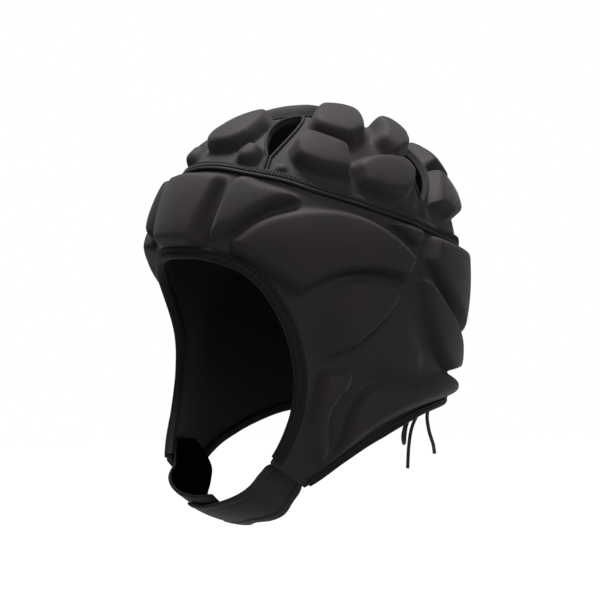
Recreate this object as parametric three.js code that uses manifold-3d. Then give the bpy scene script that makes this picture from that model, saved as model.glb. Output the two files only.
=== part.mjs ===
// Rugby scrum cap: a padded stretch cap that laces at the nape and closes under the chin.
// Millimetres, +Z up, the wearer looks along -Y and has the left ear at +X.
// The origin is the middle of the head hollow, in the plane of the brow.
import * as THREE from "three";
import { mergeVertices } from "three/addons/utils/BufferGeometryUtils.js";
import Module from "manifold-3d";

const wasm = await Module();
wasm.setup();

// Driving dimensions: the outer face of the shell, over the ears, brow, nape and jaw
const HALF_WIDTH = 81;
const BROW_REACH = 105;
const NAPE_REACH = 107;
const JAW_HALF_WIDTH = 76;
const JAW_FRONT_REACH = 111;
const JAW_BACK_REACH = 97;
const CROWN_RISE = 95;
const CHIN_DROP = 167;
const JAW_SHARE = 0.606;
const EGG_SHARE = 0.06;
const SIDE_ROUNDNESS = 2.15;
const FRONT_ROUNDNESS = 2;
const BACK_ROUNDNESS = 2.3;
const CHIN_ROUNDNESS = 2.6;
const CHEEK_HOLLOW = 6;
const CHEEK_DROP = 42;
const CHEEK_HEIGHT = 38;
const BROW_FLARE = 1.5;
const BROW_HEIGHT = 30;

// Driving dimensions: walls, pads and clearances
const WALL = 3;
const CLEARANCE = 0.3;
const PAD_SEAT = 0.85;
const SIDE_PAD_RISE = 9;
const CROWN_PAD_RISE = 9.5;
const SMALL_PAD_RISE = 5;
const PAD_EDGE = 1.2;
const PAD_SHOULDER = 7;

// Driving dimensions: tapes and bindings
const SEAM_TAPE_WIDTH = 5;
const SEAM_TAPE_THICKNESS = 1.4;
const FACE_BINDING_WIDTH = 6.5;
const HEM_BINDING_WIDTH = 4;
const VENT_BINDING_WIDTH = 3.2;
const BINDING_THICKNESS = 1;
const VENT_HALF_WIDTH = 6.5;

// Driving dimensions: nape slit, lace and chin strap
const SLIT_WIDTH = 6;
const SLIT_HEIGHT = 66;
const EYELET_SPACING = 9;
const EYELET_PITCH = 15;
const EYELET_PAIRS = 4;
const EYELET_DIAMETER = 5;
const LACE_DIAMETER = 3;
const LACE_END_DIAMETER = 2.4;
const KNOT_WIDTH = 12;
const TAB_THICKNESS = 2;
const PATCH_THICKNESS = 1.2;

const COLOURS = {
  fabric: { color: 0x17181b, roughness: 0.78, metalness: 0 },
  pad: { color: 0x1b1c20, roughness: 0.74, metalness: 0 },
  tape: { color: 0x202126, roughness: 0.7, metalness: 0 },
  patch: { color: 0x101114, roughness: 0.95, metalness: 0 },
  lace: { color: 0x141518, roughness: 0.85, metalness: 0 },
};

const cap = new THREE.Group();

// A level runs from -1 at the chin through 0 at the brow to 1 at the crown.
const height = (level) => level * (level < 0 ? CHIN_DROP : CROWN_RISE);
const levelOf = (z) => z / (z < 0 ? CHIN_DROP : CROWN_RISE);
const mix = (a, b, t) => a + (b - a) * t;
const clamp01 = (t) => Math.min(1, Math.max(0, t));
const ease = (t) => clamp01(t) ** 2 * (3 - 2 * clamp01(t));
const radians = THREE.MathUtils.degToRad;

// How far the shell reaches sideways, forwards or backwards at a height
function reach(z, brow, jaw, roundness) {
  if (z >= 0) return brow * (1 - clamp01(z / CROWN_RISE) ** roundness) ** (1 / roundness);
  const jawZ = -JAW_SHARE * CHIN_DROP;
  if (z > jawZ) return mix(brow, jaw, ease(z / jawZ));
  return jaw * (1 - clamp01((z - jawZ) / (-CHIN_DROP - jawZ)) ** CHIN_ROUNDNESS) ** (1 / CHIN_ROUNDNESS);
}

// How far the cheeks beside the face opening draw in, less the flare of the brow
function hollow(c, z) {
  const cheek = CHEEK_HOLLOW * ease((c - 0.15) / 0.45) * Math.exp(-(((z + CHEEK_DROP) / CHEEK_HEIGHT) ** 2));
  return cheek - BROW_FLARE * ease((c - 0.3) / 0.4) * Math.exp(-((z / BROW_HEIGHT) ** 2));
}

// The outer face at a turn from the front towards the wearer's left, in degrees
function surface(turn, z) {
  const c = Math.cos(radians(turn));
  const s = Math.sin(radians(turn));
  const side = reach(z, HALF_WIDTH, JAW_HALF_WIDTH, SIDE_ROUNDNESS) * (1 - EGG_SHARE * c);
  const fore = c > 0
    ? reach(z, BROW_REACH, JAW_FRONT_REACH, FRONT_ROUNDNESS)
    : reach(z, NAPE_REACH, JAW_BACK_REACH, BACK_ROUNDNESS);
  const drawn = hollow(c, z);
  return new THREE.Vector3((side - drawn) * s, -(fore - drawn) * c, z);
}

function outward(turn, z) {
  const step = 0.3;
  const low = Math.max(z - step, step / 6 - CHIN_DROP);
  const high = Math.min(z + step, CROWN_RISE - step / 6);
  const along = surface(turn + step, z).sub(surface(turn - step, z));
  const up = surface(turn, high).sub(surface(turn, low));
  return along.cross(up).normalize();
}

// A place on the side: turn in degrees and level, lifted off the outer face
function sidePlace(turn, level, lift = 0) {
  const z = height(level);
  return surface(turn, z).addScaledVector(outward(turn, z), lift);
}

// A place on the crown: degrees from the apex, across to the left and along to the front
function crownPlace(across, along, lift = 0) {
  const tilt = Math.max(Math.hypot(across, along), 0.05);
  const turn = THREE.MathUtils.radToDeg(Math.atan2(across, along));
  const z = CROWN_RISE * Math.cos(radians(Math.min(tilt, 90))) ** (2 / SIDE_ROUNDNESS);
  const seat = Math.min(z, CROWN_RISE - 0.02);
  return surface(turn, seat).addScaledVector(outward(turn, seat), lift);
}

const crownTilt = (z) => THREE.MathUtils.radToDeg(Math.acos(clamp01(z / CROWN_RISE) ** (SIDE_ROUNDNESS / 2)));

// The three lines that bound the shell, as turns in degrees and levels
const SEAM_LINE = [
  [0, 0.642], [15, 0.632], [34, 0.59], [49, 0.548], [62, 0.485], [75, 0.426], [88, 0.363],
  [101, 0.3], [117, 0.222], [133, 0.18], [155, 0.148], [180, 0.137],
];
const HEM_LINE = [
  [0, -0.91], [50, -0.9], [58, -0.86], [66, -0.815], [75, -0.748], [86, -0.675], [100, -0.61],
  [116, -0.56], [144, -0.527], [180, -0.51],
];
const FACE_LINE = [
  [0, 0.036], [13, 0.03], [24, -0.002], [33, -0.035], [41, -0.095], [48.5, -0.19], [53.5, -0.28],
  [56.5, -0.375], [57.8, -0.46], [57, -0.545], [54.8, -0.625], [51.5, -0.7], [48, -0.755],
];
const JAW_SEAM_END = [61, -0.85];

// A smooth value between the rows of a line that is the same on both sides
function levelOn(line, turn) {
  const at = Math.abs(THREE.MathUtils.euclideanModulo(turn + 180, 360) - 180);
  const row = Math.max(1, line.findIndex(([rowTurn]) => rowTurn >= at));
  const [t1, l1] = line[row - 1];
  const [t2, l2] = line[row];
  const before = row > 1 ? line[row - 2] : [-line[1][0], line[1][1]];
  const after = row < line.length - 1 ? line[row + 1] : [2 * t2 - t1, l1];
  const slope1 = (l2 - before[1]) / (t2 - before[0]);
  const slope2 = (after[1] - l1) / (after[0] - t1);
  const w = t2 - t1;
  const t = clamp01((at - t1) / w);
  return (2 * t ** 3 - 3 * t ** 2 + 1) * l1 + (t ** 3 - 2 * t ** 2 + t) * w * slope1
    + (3 * t ** 2 - 2 * t ** 3) * l2 + (t ** 3 - t ** 2) * w * slope2;
}

// A smooth curve through chart points, sampled at shares of its length
function along(points, shares) {
  const curve = new THREE.CatmullRomCurve3(points.map(([a, b]) => new THREE.Vector3(a, b, 0)), false, "centripetal");
  return shares.map((share) => {
    const at = curve.getPointAt(share);
    return [at.x, at.y];
  });
}

const steps = (count) => Array.from({ length: count + 1 }, (_, i) => i / count);

// A closed body from loose triangles, welded, with its faces pointing out
function body(points, triangles) {
  const loose = new THREE.BufferGeometry();
  loose.setAttribute("position", new THREE.Float32BufferAttribute(points.flatMap((p) => [p.x, p.y, p.z]), 3));
  loose.setIndex(triangles.flat());
  const welded = mergeVertices(loose, 1e-3);
  const index = welded.index.array;
  const kept = [];
  for (let i = 0; i < index.length; i += 3) {
    const [a, b, c] = [index[i], index[i + 1], index[i + 2]];
    if (a !== b && b !== c && c !== a) kept.push([a, b, c]);
  }
  const at = welded.attributes.position;
  const corner = (i) => new THREE.Vector3().fromBufferAttribute(at, i);
  const volume = kept.reduce((sum, [a, b, c]) => sum + corner(a).dot(corner(b).cross(corner(c))), 0);
  welded.setIndex(kept.flatMap(([a, b, c]) => (volume > 0 ? [a, b, c] : [a, c, b])));
  welded.computeVertexNormals();
  return welded;
}

// A slab between an upper and a lower grid of the same rows and columns; rows may close into a ring
function slab(top, bottom, ring = false) {
  const rows = top.length;
  const columns = top[0].length;
  const points = [...top.flat(), ...bottom.flat()];
  const upper = (r, c) => (r % rows) * columns + c;
  const lower = (r, c) => rows * columns + upper(r, c);
  const triangles = [];
  const quad = (a, b, c, d) => triangles.push([a, b, c], [a, c, d]);
  const lastRow = ring ? rows : rows - 1;
  for (let r = 0; r < lastRow; r += 1) {
    for (let c = 0; c < columns - 1; c += 1) {
      quad(upper(r, c), upper(r + 1, c), upper(r + 1, c + 1), upper(r, c + 1));
      quad(lower(r, c), lower(r, c + 1), lower(r + 1, c + 1), lower(r + 1, c));
    }
    quad(lower(r, 0), lower(r + 1, 0), upper(r + 1, 0), upper(r, 0));
    quad(upper(r, columns - 1), upper(r + 1, columns - 1), lower(r + 1, columns - 1), lower(r, columns - 1));
  }
  for (let c = 0; !ring && c < columns - 1; c += 1) {
    quad(upper(0, c), upper(0, c + 1), lower(0, c + 1), lower(0, c));
    quad(lower(rows - 1, c), lower(rows - 1, c + 1), upper(rows - 1, c + 1), upper(rows - 1, c));
  }
  return body(points, triangles);
}

// A section of corner points carried along frames, closed into a ring or capped at both ends
function sweep(frames, section, ring = false) {
  const points = frames.flatMap(({ at, side, out }) => section.map(([s, n]) => at.clone()
    .addScaledVector(side, s)
    .addScaledVector(out, n)));
  const size = section.length;
  const triangles = [];
  const count = ring ? frames.length : frames.length - 1;
  for (let f = 0; f < count; f += 1) {
    const next = ((f + 1) % frames.length) * size;
    for (let k = 0; k < size; k += 1) {
      const l = (k + 1) % size;
      triangles.push([f * size + k, next + k, next + l], [f * size + k, next + l, f * size + l]);
    }
  }
  if (!ring) {
    const flat = section.map(([s, n]) => new THREE.Vector2(s, n));
    const end = (frames.length - 1) * size;
    for (const [a, b, c] of THREE.ShapeUtils.triangulateShape(flat, [])) {
      triangles.push([a, b, c], [end + a, end + c, end + b]);
    }
  }
  return capped(body(points, triangles));
}

// Turns the end caps of a sweep to agree with its walls, edge by edge
function capped(geometry) {
  const index = Array.from(geometry.index.array);
  const faces = [];
  for (let i = 0; i < index.length; i += 3) faces.push(index.slice(i, i + 3));
  const edges = new Map();
  faces.forEach((face, f) => face.forEach((a, k) => {
    const b = face[(k + 1) % 3];
    const key = a < b ? `${a} ${b}` : `${b} ${a}`;
    edges.set(key, [...(edges.get(key) ?? []), f]);
  }));
  const turned = faces.map(() => null);
  const queue = [0];
  turned[0] = faces[0];
  while (queue.length) {
    const f = queue.pop();
    turned[f].forEach((a, k) => {
      const b = turned[f][(k + 1) % 3];
      for (const g of edges.get(a < b ? `${a} ${b}` : `${b} ${a}`)) {
        if (turned[g]) continue;
        const face = faces[g];
        const same = face.some((p, m) => p === a && face[(m + 1) % 3] === b);
        turned[g] = same ? [face[0], face[2], face[1]] : face;
        queue.push(g);
      }
    });
  }
  const at = geometry.attributes.position;
  const points = Array.from({ length: at.count }, (_, i) => new THREE.Vector3().fromBufferAttribute(at, i));
  return body(points, turned);
}

const toManifold = (geometry) => new wasm.Manifold(new wasm.Mesh({
  numProp: 3,
  vertProperties: Float32Array.from(geometry.attributes.position.array),
  triVerts: Uint32Array.from(geometry.index.array),
}));

function fromManifold(solid) {
  const mesh = solid.getMesh();
  const geometry = new THREE.BufferGeometry();
  geometry.setAttribute("position", new THREE.BufferAttribute(new Float32Array(mesh.vertProperties), 3));
  geometry.setIndex(new THREE.BufferAttribute(new Uint32Array(mesh.triVerts), 1));
  geometry.computeVertexNormals();
  return geometry;
}

function add(name, geometry, colour) {
  const material = new THREE.MeshStandardMaterial(COLOURS[colour]);
  const mesh = new THREE.Mesh(geometry, material);
  mesh.name = name;
  cap.add(mesh);
}

// A frame on the side shell: across lies in the surface, square to the line, and out points away
function frameOn(points, i, ring = false) {
  const last = points.length - 1;
  const before = points[ring ? (i + last) % (last + 1) : Math.max(i - 1, 0)];
  const after = points[ring ? (i + 1) % (last + 1) : Math.min(i + 1, last)];
  const [turn, level] = points[i];
  const at = sidePlace(turn, level);
  const out = outward(turn, height(level));
  const run = sidePlace(...after).sub(sidePlace(...before)).normalize();
  const side = out.clone().cross(run).normalize();
  return { at, side, out };
}

// The face opening, from the wearer's left jaw over the brow to the right jaw
const FACE_STEPS = 21;
const leftFace = along(FACE_LINE, steps(FACE_STEPS));
const facePath = [
  ...leftFace.slice(1).reverse(),
  ...leftFace.map(([turn, level]) => [-turn, level]),
];

// A solid that takes the face opening and the chin out of the shell
function faceCutter() {
  const [seamTurn, seamLevel] = JAW_SEAM_END;
  const below = -0.985;
  const outline = [
    [seamTurn, below], [seamTurn, seamLevel], ...facePath, [-seamTurn, seamLevel], [-seamTurn, below],
    [-seamTurn / 2, below], [0, below], [seamTurn / 2, below],
  ];
  const outer = outline.map(([turn, level]) => sidePlace(turn, level, 4 * WALL));
  const inner = outline.map(([turn, level]) => sidePlace(turn, level, -5 * WALL));
  const tips = [
    new THREE.Vector3(0, -4 * BROW_REACH, height(-0.5)),
    new THREE.Vector3(0, -BROW_REACH / 8, height(-0.5)),
  ];
  const count = outline.length;
  const triangles = [];
  for (let i = 0; i < count; i += 1) {
    const j = (i + 1) % count;
    triangles.push([i, j, count + j], [i, count + j, count + i]);
    triangles.push([j, i, 2 * count], [count + i, count + j, 2 * count + 1]);
  }
  return body([...outer, ...inner, ...tips], triangles);
}

const napeZ = height(levelOn(HEM_LINE, 180));
const eyeletZ = Array.from({ length: EYELET_PAIRS }, (_, i) => napeZ + EYELET_SPACING + i * EYELET_PITCH);

// A bar through the nape wall, as a slit or an eyelet
function napeCutter(geometry, x, z) {
  geometry.translate(x, surface(180, z).y, z);
  geometry.deleteAttribute("normal");
  geometry.deleteAttribute("uv");
  return toManifold(mergeVertices(geometry));
}

const SHELL_STEP = 6;
const SHELL_ROWS = 15;

// The left or the right half of the shell: the halves join at the front and above the nape slit
function sideShell(hand) {
  const grid = (lift) => Array.from({ length: 360 / SHELL_STEP }, (_, column) => {
    const turn = column * SHELL_STEP - 180;
    const bottom = height(levelOn(HEM_LINE, turn));
    const top = height(levelOn(SEAM_LINE, turn)) - CLEARANCE / 2;
    return steps(SHELL_ROWS).map((t) => sidePlace(turn, levelOf(mix(bottom, top, t ** 1.15)), lift));
  });
  let solid = toManifold(slab(grid(0), grid(-WALL), true));
  solid = solid.subtract(toManifold(faceCutter()));
  const depth = 2 * EYELET_PITCH;
  const slit = new THREE.BoxGeometry(SLIT_WIDTH, depth, 2 * SLIT_HEIGHT);
  solid = solid.subtract(napeCutter(slit, 0, napeZ));
  for (const z of eyeletZ) {
    for (const x of [-EYELET_SPACING, EYELET_SPACING]) {
      const eyelet = new THREE.CylinderGeometry(EYELET_DIAMETER / 2, EYELET_DIAMETER / 2, depth, 10);
      solid = solid.subtract(napeCutter(eyelet, x, z));
    }
  }
  return fromManifold(solid.trimByPlane([hand, 0, 0], CLEARANCE / 2));
}

add("side_shell_left", sideShell(1), "fabric");
add("side_shell_right", sideShell(-1), "fabric");

// Petals meet along lines of the crown, each with a vent in it: the turn where a line leaves the
// crown seam, its inner end in degrees across and along, and the shares where its vent starts and ends
const CROWN_LINES = [
  { name: "front_left", turn: 38, end: [0.12, 0.2], low: 0.16, high: 0.88 },
  { name: "back_left", turn: 108, end: [0.12, -32], low: 0.15, high: 0.73 },
  { name: "back_right", turn: 252, end: [-0.12, -32], low: 0.15, high: 0.73 },
  { name: "front_right", turn: 322, end: [-0.12, 0.2], low: 0.16, high: 0.88 },
];

// Millimetres along the crown for each degree of tilt
const CROWN_DEGREE = (Math.PI / 180) * CROWN_RISE;

// The upper edge of the joint of crown and shell, in the crown chart
function crownSeam(turn) {
  const tilt = crownTilt(height(levelOn(SEAM_LINE, turn)) + CLEARANCE / 2);
  return [tilt * Math.sin(radians(turn)), tilt * Math.cos(radians(turn))];
}

// A point beside a crown line at a share of its length: side 1 lies at its larger turns
function besideLine(line, share, side, extra = 0) {
  const start = crownSeam(line.turn);
  const run = [line.end[0] - start[0], line.end[1] - start[1]];
  const length = Math.hypot(...run);
  const opened = clamp01((share - line.low) / (line.high - line.low));
  const open = VENT_HALF_WIDTH * Math.sin(Math.PI * opened) ** 0.8;
  const away = (side * (CLEARANCE / 2 + open + extra)) / CROWN_DEGREE / length;
  return [start[0] + run[0] * share - run[1] * away, start[1] + run[1] * share + run[0] * away];
}

// A petal between two crown lines, from the crown seam inwards
function petal(from, to, columnCount) {
  const span = THREE.MathUtils.euclideanModulo(to.turn - from.turn, 360);
  const startFrom = besideLine(from, 0, 1);
  const startTo = besideLine(to, 0, -1);
  const chart = steps(10).map((row) => steps(columnCount).map((column) => {
    const edge = crownSeam(from.turn + span * column);
    const [a, b] = [besideLine(from, row, 1), besideLine(to, row, -1)];
    const onEdge = column > 0 && column < 1;
    return [0, 1].map((k) => {
      const bow = onEdge ? edge[k] - mix(startFrom[k], startTo[k], column) : 0;
      return mix(a[k], b[k], column) + (1 - row) * bow;
    });
  }));
  const place = (lift) => chart.map((row) => row.map(([u, v]) => crownPlace(u, v, lift)));
  return slab(place(0), place(-WALL));
}

const [frontLeft, backLeft, backRight, frontRight] = CROWN_LINES;
add("crown_left", petal(frontLeft, backLeft, 10), "fabric");
add("crown_back", petal(backLeft, backRight, 12), "fabric");
add("crown_right", petal(backRight, frontRight, 10), "fabric");
add("crown_front", petal(frontRight, frontLeft, 8), "fabric");

// The flatlock tape over the joint of crown and shell
function seamTape() {
  const count = 72;
  const line = Array.from({ length: count }, (_, i) => {
    const turn = (i * 360) / count;
    return [turn, levelOn(SEAM_LINE, turn)];
  });
  const half = SEAM_TAPE_WIDTH / 2;
  const low = 2 * CLEARANCE;
  const section = [[-half, low], [half, low], [half, low + SEAM_TAPE_THICKNESS], [-half, low + SEAM_TAPE_THICKNESS]];
  return sweep(line.map((_, i) => frameOn(line, i, true)), section, true);
}

add("seam_tape", seamTape(), "tape");

// A folded tape that grips an edge of the shell, on both faces; its open side points along +side
function channel(width) {
  const gap = 2 * CLEARANCE;
  const t = BINDING_THICKNESS;
  const slack = width / 9;
  return [
    [width, gap], [width, gap + t], [-gap - t, gap + t], [-gap - t, -WALL - gap - t],
    [width, -WALL - gap - slack - t], [width, -WALL - gap - slack], [-gap, -WALL - gap], [-gap, gap],
  ];
}

// The folded tape along a run of edge points, with its open side over the shell
function binding(line, width, inward) {
  const frames = line.map((_, i) => frameOn(line, i));
  for (const frame of frames) frame.side.multiplyScalar(inward);
  return sweep(frames, channel(width));
}

add("face_binding", binding(facePath.slice(1, -1), FACE_BINDING_WIDTH, -1), "tape");

// The hem tape starts behind the jaw seam, ends at the nape slit and bends where the shell does
const HEM_START = 66;
const HEM_END = 174;
for (const [name, hand] of [["hem_binding_left", 1], ["hem_binding_right", -1]]) {
  const line = steps((HEM_END - HEM_START) / SHELL_STEP).map((t) => {
    const turn = hand * mix(HEM_START, HEM_END, t);
    return [turn, levelOn(HEM_LINE, turn)];
  });
  add(name, binding(line, HEM_BINDING_WIDTH, hand), "tape");
}

// A flat tape round each vent, on the outside of the petals
function ventBinding(line) {
  const shares = steps(11).slice(1, -1).map((t) => mix(line.low, line.high, 0.5 - 0.5 * Math.cos(Math.PI * t)));
  const start = crownSeam(line.turn);
  const length = Math.hypot(line.end[0] - start[0], line.end[1] - start[1]) * CROWN_DEGREE;
  const ring = (extra) => [
    besideLine(line, line.low - extra / length, 0),
    ...shares.map((share) => besideLine(line, share, 1, extra)),
    besideLine(line, line.high + extra / length, 0),
    ...shares.toReversed().map((share) => besideLine(line, share, -1, extra)),
  ];
  const low = 2 * CLEARANCE;
  const near = ring(2 * CLEARANCE);
  const far = ring(VENT_BINDING_WIDTH);
  const grid = (lift) => near.map(([u, v], i) => [crownPlace(u, v, lift), crownPlace(...far[i], lift)]);
  return slab(grid(low + BINDING_THICKNESS), grid(low), true);
}

for (const line of CROWN_LINES) add(`vent_${line.name}`, ventBinding(line), "tape");

// A pad raised off the shell between two rails of chart points
const PAD_STATION = 13;
const PAD_END = 0.07;
const PAD_ACROSS = [0, 0.15, 0.5, 0.85, 1];

function pad(over, under, rise, place) {
  const middle = over.map(([a, b]) => place(a, b));
  const length = middle.slice(1).reduce((sum, point, i) => sum + point.distanceTo(middle[i]), 0);
  const inner = steps(Math.max(2, Math.round(length / PAD_STATION)));
  const shares = [0, ...inner.map((t) => mix(PAD_END, 1 - PAD_END, t)), 1];
  const railA = along(over, shares);
  const railB = along(under, shares);
  const chart = railA.map(([a1, b1], i) => PAD_ACROSS.map((t) => {
    const [a2, b2] = railB[i];
    return [mix(a1, a2, t), mix(b1, b2, t)];
  }));
  const base = chart.map((row) => row.map(([a, b]) => place(a, b)));
  const edge = [
    ...base.map((row) => row[0]),
    ...base.at(-1),
    ...base.map((row) => row.at(-1)).reverse(),
    ...base[0].toReversed(),
  ];
  const segment = new THREE.Line3();
  const nearest = new THREE.Vector3();
  const top = chart.map((row, r) => row.map(([a, b], c) => {
    const onEdge = r === 0 || c === 0 || r === chart.length - 1 || c === row.length - 1;
    const gaps = edge.map((point, i) => segment
      .set(point, edge[(i + 1) % edge.length])
      .closestPointToPoint(base[r][c], true, nearest)
      .distanceTo(base[r][c]));
    const run = clamp01(Math.min(...gaps) / PAD_SHOULDER);
    const lift = onEdge ? PAD_EDGE : mix(PAD_EDGE, rise, Math.sqrt(1 - (1 - run) ** 2));
    return place(a, b, PAD_SEAT + lift);
  }));
  const bottom = chart.map((row) => row.map(([a, b]) => place(a, b, PAD_SEAT)));
  return slab(top, bottom);
}

// Side pads of the wearer's left: rails of turn in degrees and level
const SIDE_PADS = [
  {
    name: "temple",
    over: [[20, 0.14], [22, 0.33], [26, 0.515], [40, 0.49], [56, 0.41]],
    under: [[20, 0.14], [31, 0.2], [39, 0.295], [47, 0.36], [56, 0.41]],
  },
  {
    name: "upper",
    over: [[29, 0.11], [40, 0.25], [51, 0.31], [65, 0.33], [79, 0.285], [91, 0.175], [101, 0.03]],
    under: [[29, 0.11], [36, 0.05], [44, -0.015], [50, -0.06], [56.5, -0.1], [64, -0.058], [76, -0.028],
      [88, -0.033], [97, -0.06]],
  },
  {
    name: "wedge",
    over: [[90, 0.265], [98, 0.25], [105, 0.225]],
    under: [[90, 0.265], [96, 0.19], [101, 0.12], [106, 0.17]],
    small: true,
  },
  {
    name: "lower",
    over: [[58.5, -0.13], [67.5, -0.09], [76.5, -0.07], [86.5, -0.083], [94.5, -0.115]],
    under: [[64.5, -0.365], [71, -0.348], [79.5, -0.29], [88, -0.205], [94.5, -0.115]],
  },
  {
    name: "cheek",
    over: [[65.5, -0.4], [63.5, -0.475], [60.5, -0.59], [57.5, -0.685]],
    under: [[77, -0.4], [76, -0.485], [71.5, -0.59], [69.5, -0.68], [65, -0.765]],
  },
  {
    name: "ear",
    over: [[81, -0.435], [83, -0.3], [90, -0.225], [98, -0.14]],
    under: [[110, -0.425], [111.5, -0.36], [106.5, -0.255], [98, -0.14]],
    rise: 0.7,
  },
  {
    name: "jaw",
    over: [[66.5, -0.775], [73, -0.67], [76.5, -0.56], [82, -0.475], [100, -0.465], [113, -0.437],
      [128, -0.425], [146, -0.427]],
    under: [[66.5, -0.775], [76, -0.695], [88, -0.61], [104, -0.549], [125, -0.508], [146, -0.49]],
  },
  {
    name: "back_strip",
    over: [[103.5, -0.055], [105.5, -0.145], [111, -0.26], [118, -0.345], [131, -0.405]],
    under: [[107, -0.05], [119, -0.15], [134, -0.245], [146, -0.32], [154, -0.4]],
  },
  {
    name: "back_tall",
    over: [[111, 0.185], [130, 0.13], [150, 0.095], [166, 0.085]],
    under: [[107.5, 0.01], [118.5, -0.1], [136, -0.2], [152, -0.26], [166, -0.28]],
  },
];

// Crown pads of the wearer's left: rails of degrees across and along from the apex
const CROWN_PADS = [
  { name: "corner", rise: 0.7, over: [[17, 38], [24, 37]], under: [[16, 45], [21, 47], [27, 42.5]] },
  {
    name: "top",
    rise: 1.3,
    over: [[3, -4], [15, 7], [28, 16.5], [35, 13.5]],
    under: [[3, -13], [17, -10.5], [35, -3.5], [41, 5.5]],
  },
  {
    name: "front",
    over: [[29.5, 20], [36, 15.5], [43.5, 9]],
    under: [[33, 28.5], [41, 31], [51, 24], [56.5, 14.5]],
  },
  {
    name: "rear",
    rise: 1.15,
    over: [[19, -14], [29, -12], [38, -7]],
    under: [[12.5, -22.5], [25, -22], [36, -19.5], [45, -11]],
  },
  {
    name: "side",
    over: [[53, 9.5], [48.5, -1], [47, -15.5]],
    under: [[60, 9.5], [64.5, -1], [63, -13], [53, -19]],
  },
  { name: "edge", over: [[66, -8], [66.5, -13], [64.5, -18]], under: [[69, -7.5], [69, -14], [67, -19]], small: true },
  {
    name: "nape_top",
    over: [[8, -37], [20, -38], [33, -36.5]],
    under: [[8, -51], [20, -53], [32, -50]],
  },
  {
    name: "nape_side",
    over: [[40, -35], [51, -32.5], [62.5, -29.5]],
    under: [[36, -53], [47, -54], [60, -43]],
  },
];

const mirrored = (rail) => rail.map(([a, b]) => [-a, b]);

for (const row of SIDE_PADS) {
  const rise = row.small ? SMALL_PAD_RISE : SIDE_PAD_RISE * (row.rise ?? 1);
  add(`pad_${row.name}_left`, pad(row.over, row.under, rise, sidePlace), "pad");
  add(`pad_${row.name}_right`, pad(mirrored(row.over), mirrored(row.under), rise, sidePlace), "pad");
}

for (const row of CROWN_PADS) {
  const rise = row.small ? SMALL_PAD_RISE : CROWN_PAD_RISE * (row.rise ?? 1);
  add(`crown_pad_${row.name}_left`, pad(row.over, row.under, rise, crownPlace), "pad");
  add(`crown_pad_${row.name}_right`, pad(mirrored(row.over), mirrored(row.under), rise, crownPlace), "pad");
}

// Pads that cross the middle
const MIDDLE_PADS = [
  {
    name: "pad_forehead",
    over: [[-18.5, 0.54], [0, 0.56], [18.5, 0.54]],
    under: [[-10.5, 0.12], [0, 0.125], [10.5, 0.12]],
    rise: SIDE_PAD_RISE,
    place: sidePlace,
  },
  {
    name: "crown_pad_brow",
    over: [[-10.5, 25], [0, 17], [10.5, 25]],
    under: [[-14, 35.5], [-8, 42.5], [8, 42.5], [14, 35.5]],
    rise: CROWN_PAD_RISE,
    place: crownPlace,
  },
  {
    name: "crown_pad_nape_middle",
    over: [[-5, -38], [5, -38]],
    under: [[-5, -50], [5, -50]],
    rise: CROWN_PAD_RISE,
    place: crownPlace,
  },
  {
    name: "crown_pad_nape_low",
    over: [[-24, -56], [0, -53.5], [24, -56]],
    under: [[-30, -66], [0, -74], [30, -66]],
    rise: CROWN_PAD_RISE,
    place: crownPlace,
  },
];

for (const { name, over, under, rise, place } of MIDDLE_PADS) add(name, pad(over, under, rise, place), "pad");

// Chin tabs: stations from the root under the shell to the free end, with the turn and level of the
// face edge and of the hem edge, and how far the tab has come out from under the shell
const TAB_STATIONS = [
  { face: [60, -0.725], hem: [65.5, -0.765], out: 0 },
  { face: [54.5, -0.755], hem: [62, -0.805], out: 0 },
  { face: [47, -0.77], hem: [59.5, -0.88], out: 0 },
  { face: [43.5, -0.8], hem: [56, -0.918], out: 0.15 },
  { face: [38, -0.835], hem: [50, -0.943], out: 0.7 },
  { face: [30, -0.867], hem: [39, -0.962], out: 1 },
  { face: [20, -0.89], hem: [25, -0.97], out: 1 },
  { face: [10, -0.902], hem: [12, -0.98], out: 1 },
  { face: [0, -0.908], hem: [0, -0.983], out: 1 },
  { face: [-8, -0.904], hem: [-9, -0.982], out: 1 },
  { face: [-15, -0.9], hem: [-15, -0.978], out: 1 },
];

// The right tab is broader and starts higher up on the inside
const BROAD_TAB_STATIONS = [
  { face: [54, -0.67], hem: [67, -0.675], out: 0 },
  { face: [51, -0.73], hem: [72.5, -0.745], out: 0 },
  { face: [47, -0.775], hem: [73.5, -0.805], out: 0.05 },
  { face: [43.5, -0.79], hem: [68, -0.865], out: 0.3 },
  { face: [38, -0.813], hem: [58, -0.91], out: 0.7 },
  { face: [30, -0.843], hem: [44, -0.95], out: 0.95 },
  { face: [20, -0.866], hem: [27, -0.968], out: 1 },
  { face: [10, -0.878], hem: [12, -0.98], out: 1 },
  { face: [0, -0.884], hem: [0, -0.983], out: 1 },
  { face: [-8, -0.88], hem: [-9, -0.982], out: 1 },
  { face: [-15, -0.876], hem: [-15, -0.978], out: 1 },
];

// How deep the outer face of each tab lies, under the shell and in the overlap
const LEFT_TAB = {
  hand: 1, stations: TAB_STATIONS, root: -WALL - 4 * CLEARANCE, overlap: TAB_THICKNESS + 1.5 * CLEARANCE,
};
const RIGHT_TAB = { hand: -1, stations: BROAD_TAB_STATIONS, root: -WALL - 9 * CLEARANCE, overlap: 0 };

// A place on a tab, at a share of the way from its face edge to its hem edge
function tabPlace(tab, { face, hem, out }, t, down) {
  const lift = mix(tab.root, tab.overlap, ease(out)) - down;
  return sidePlace(tab.hand * mix(face[0], hem[0], t), mix(face[1], hem[1], t), lift);
}

function chinTab(tab) {
  const grid = (down) => tab.stations.map((station) => steps(5).map((t) => tabPlace(tab, station, t, down)));
  return slab(grid(0), grid(TAB_THICKNESS));
}

add("chin_tab_left", chinTab(LEFT_TAB), "fabric");
add("chin_tab_right", chinTab(RIGHT_TAB), "fabric");

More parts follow.
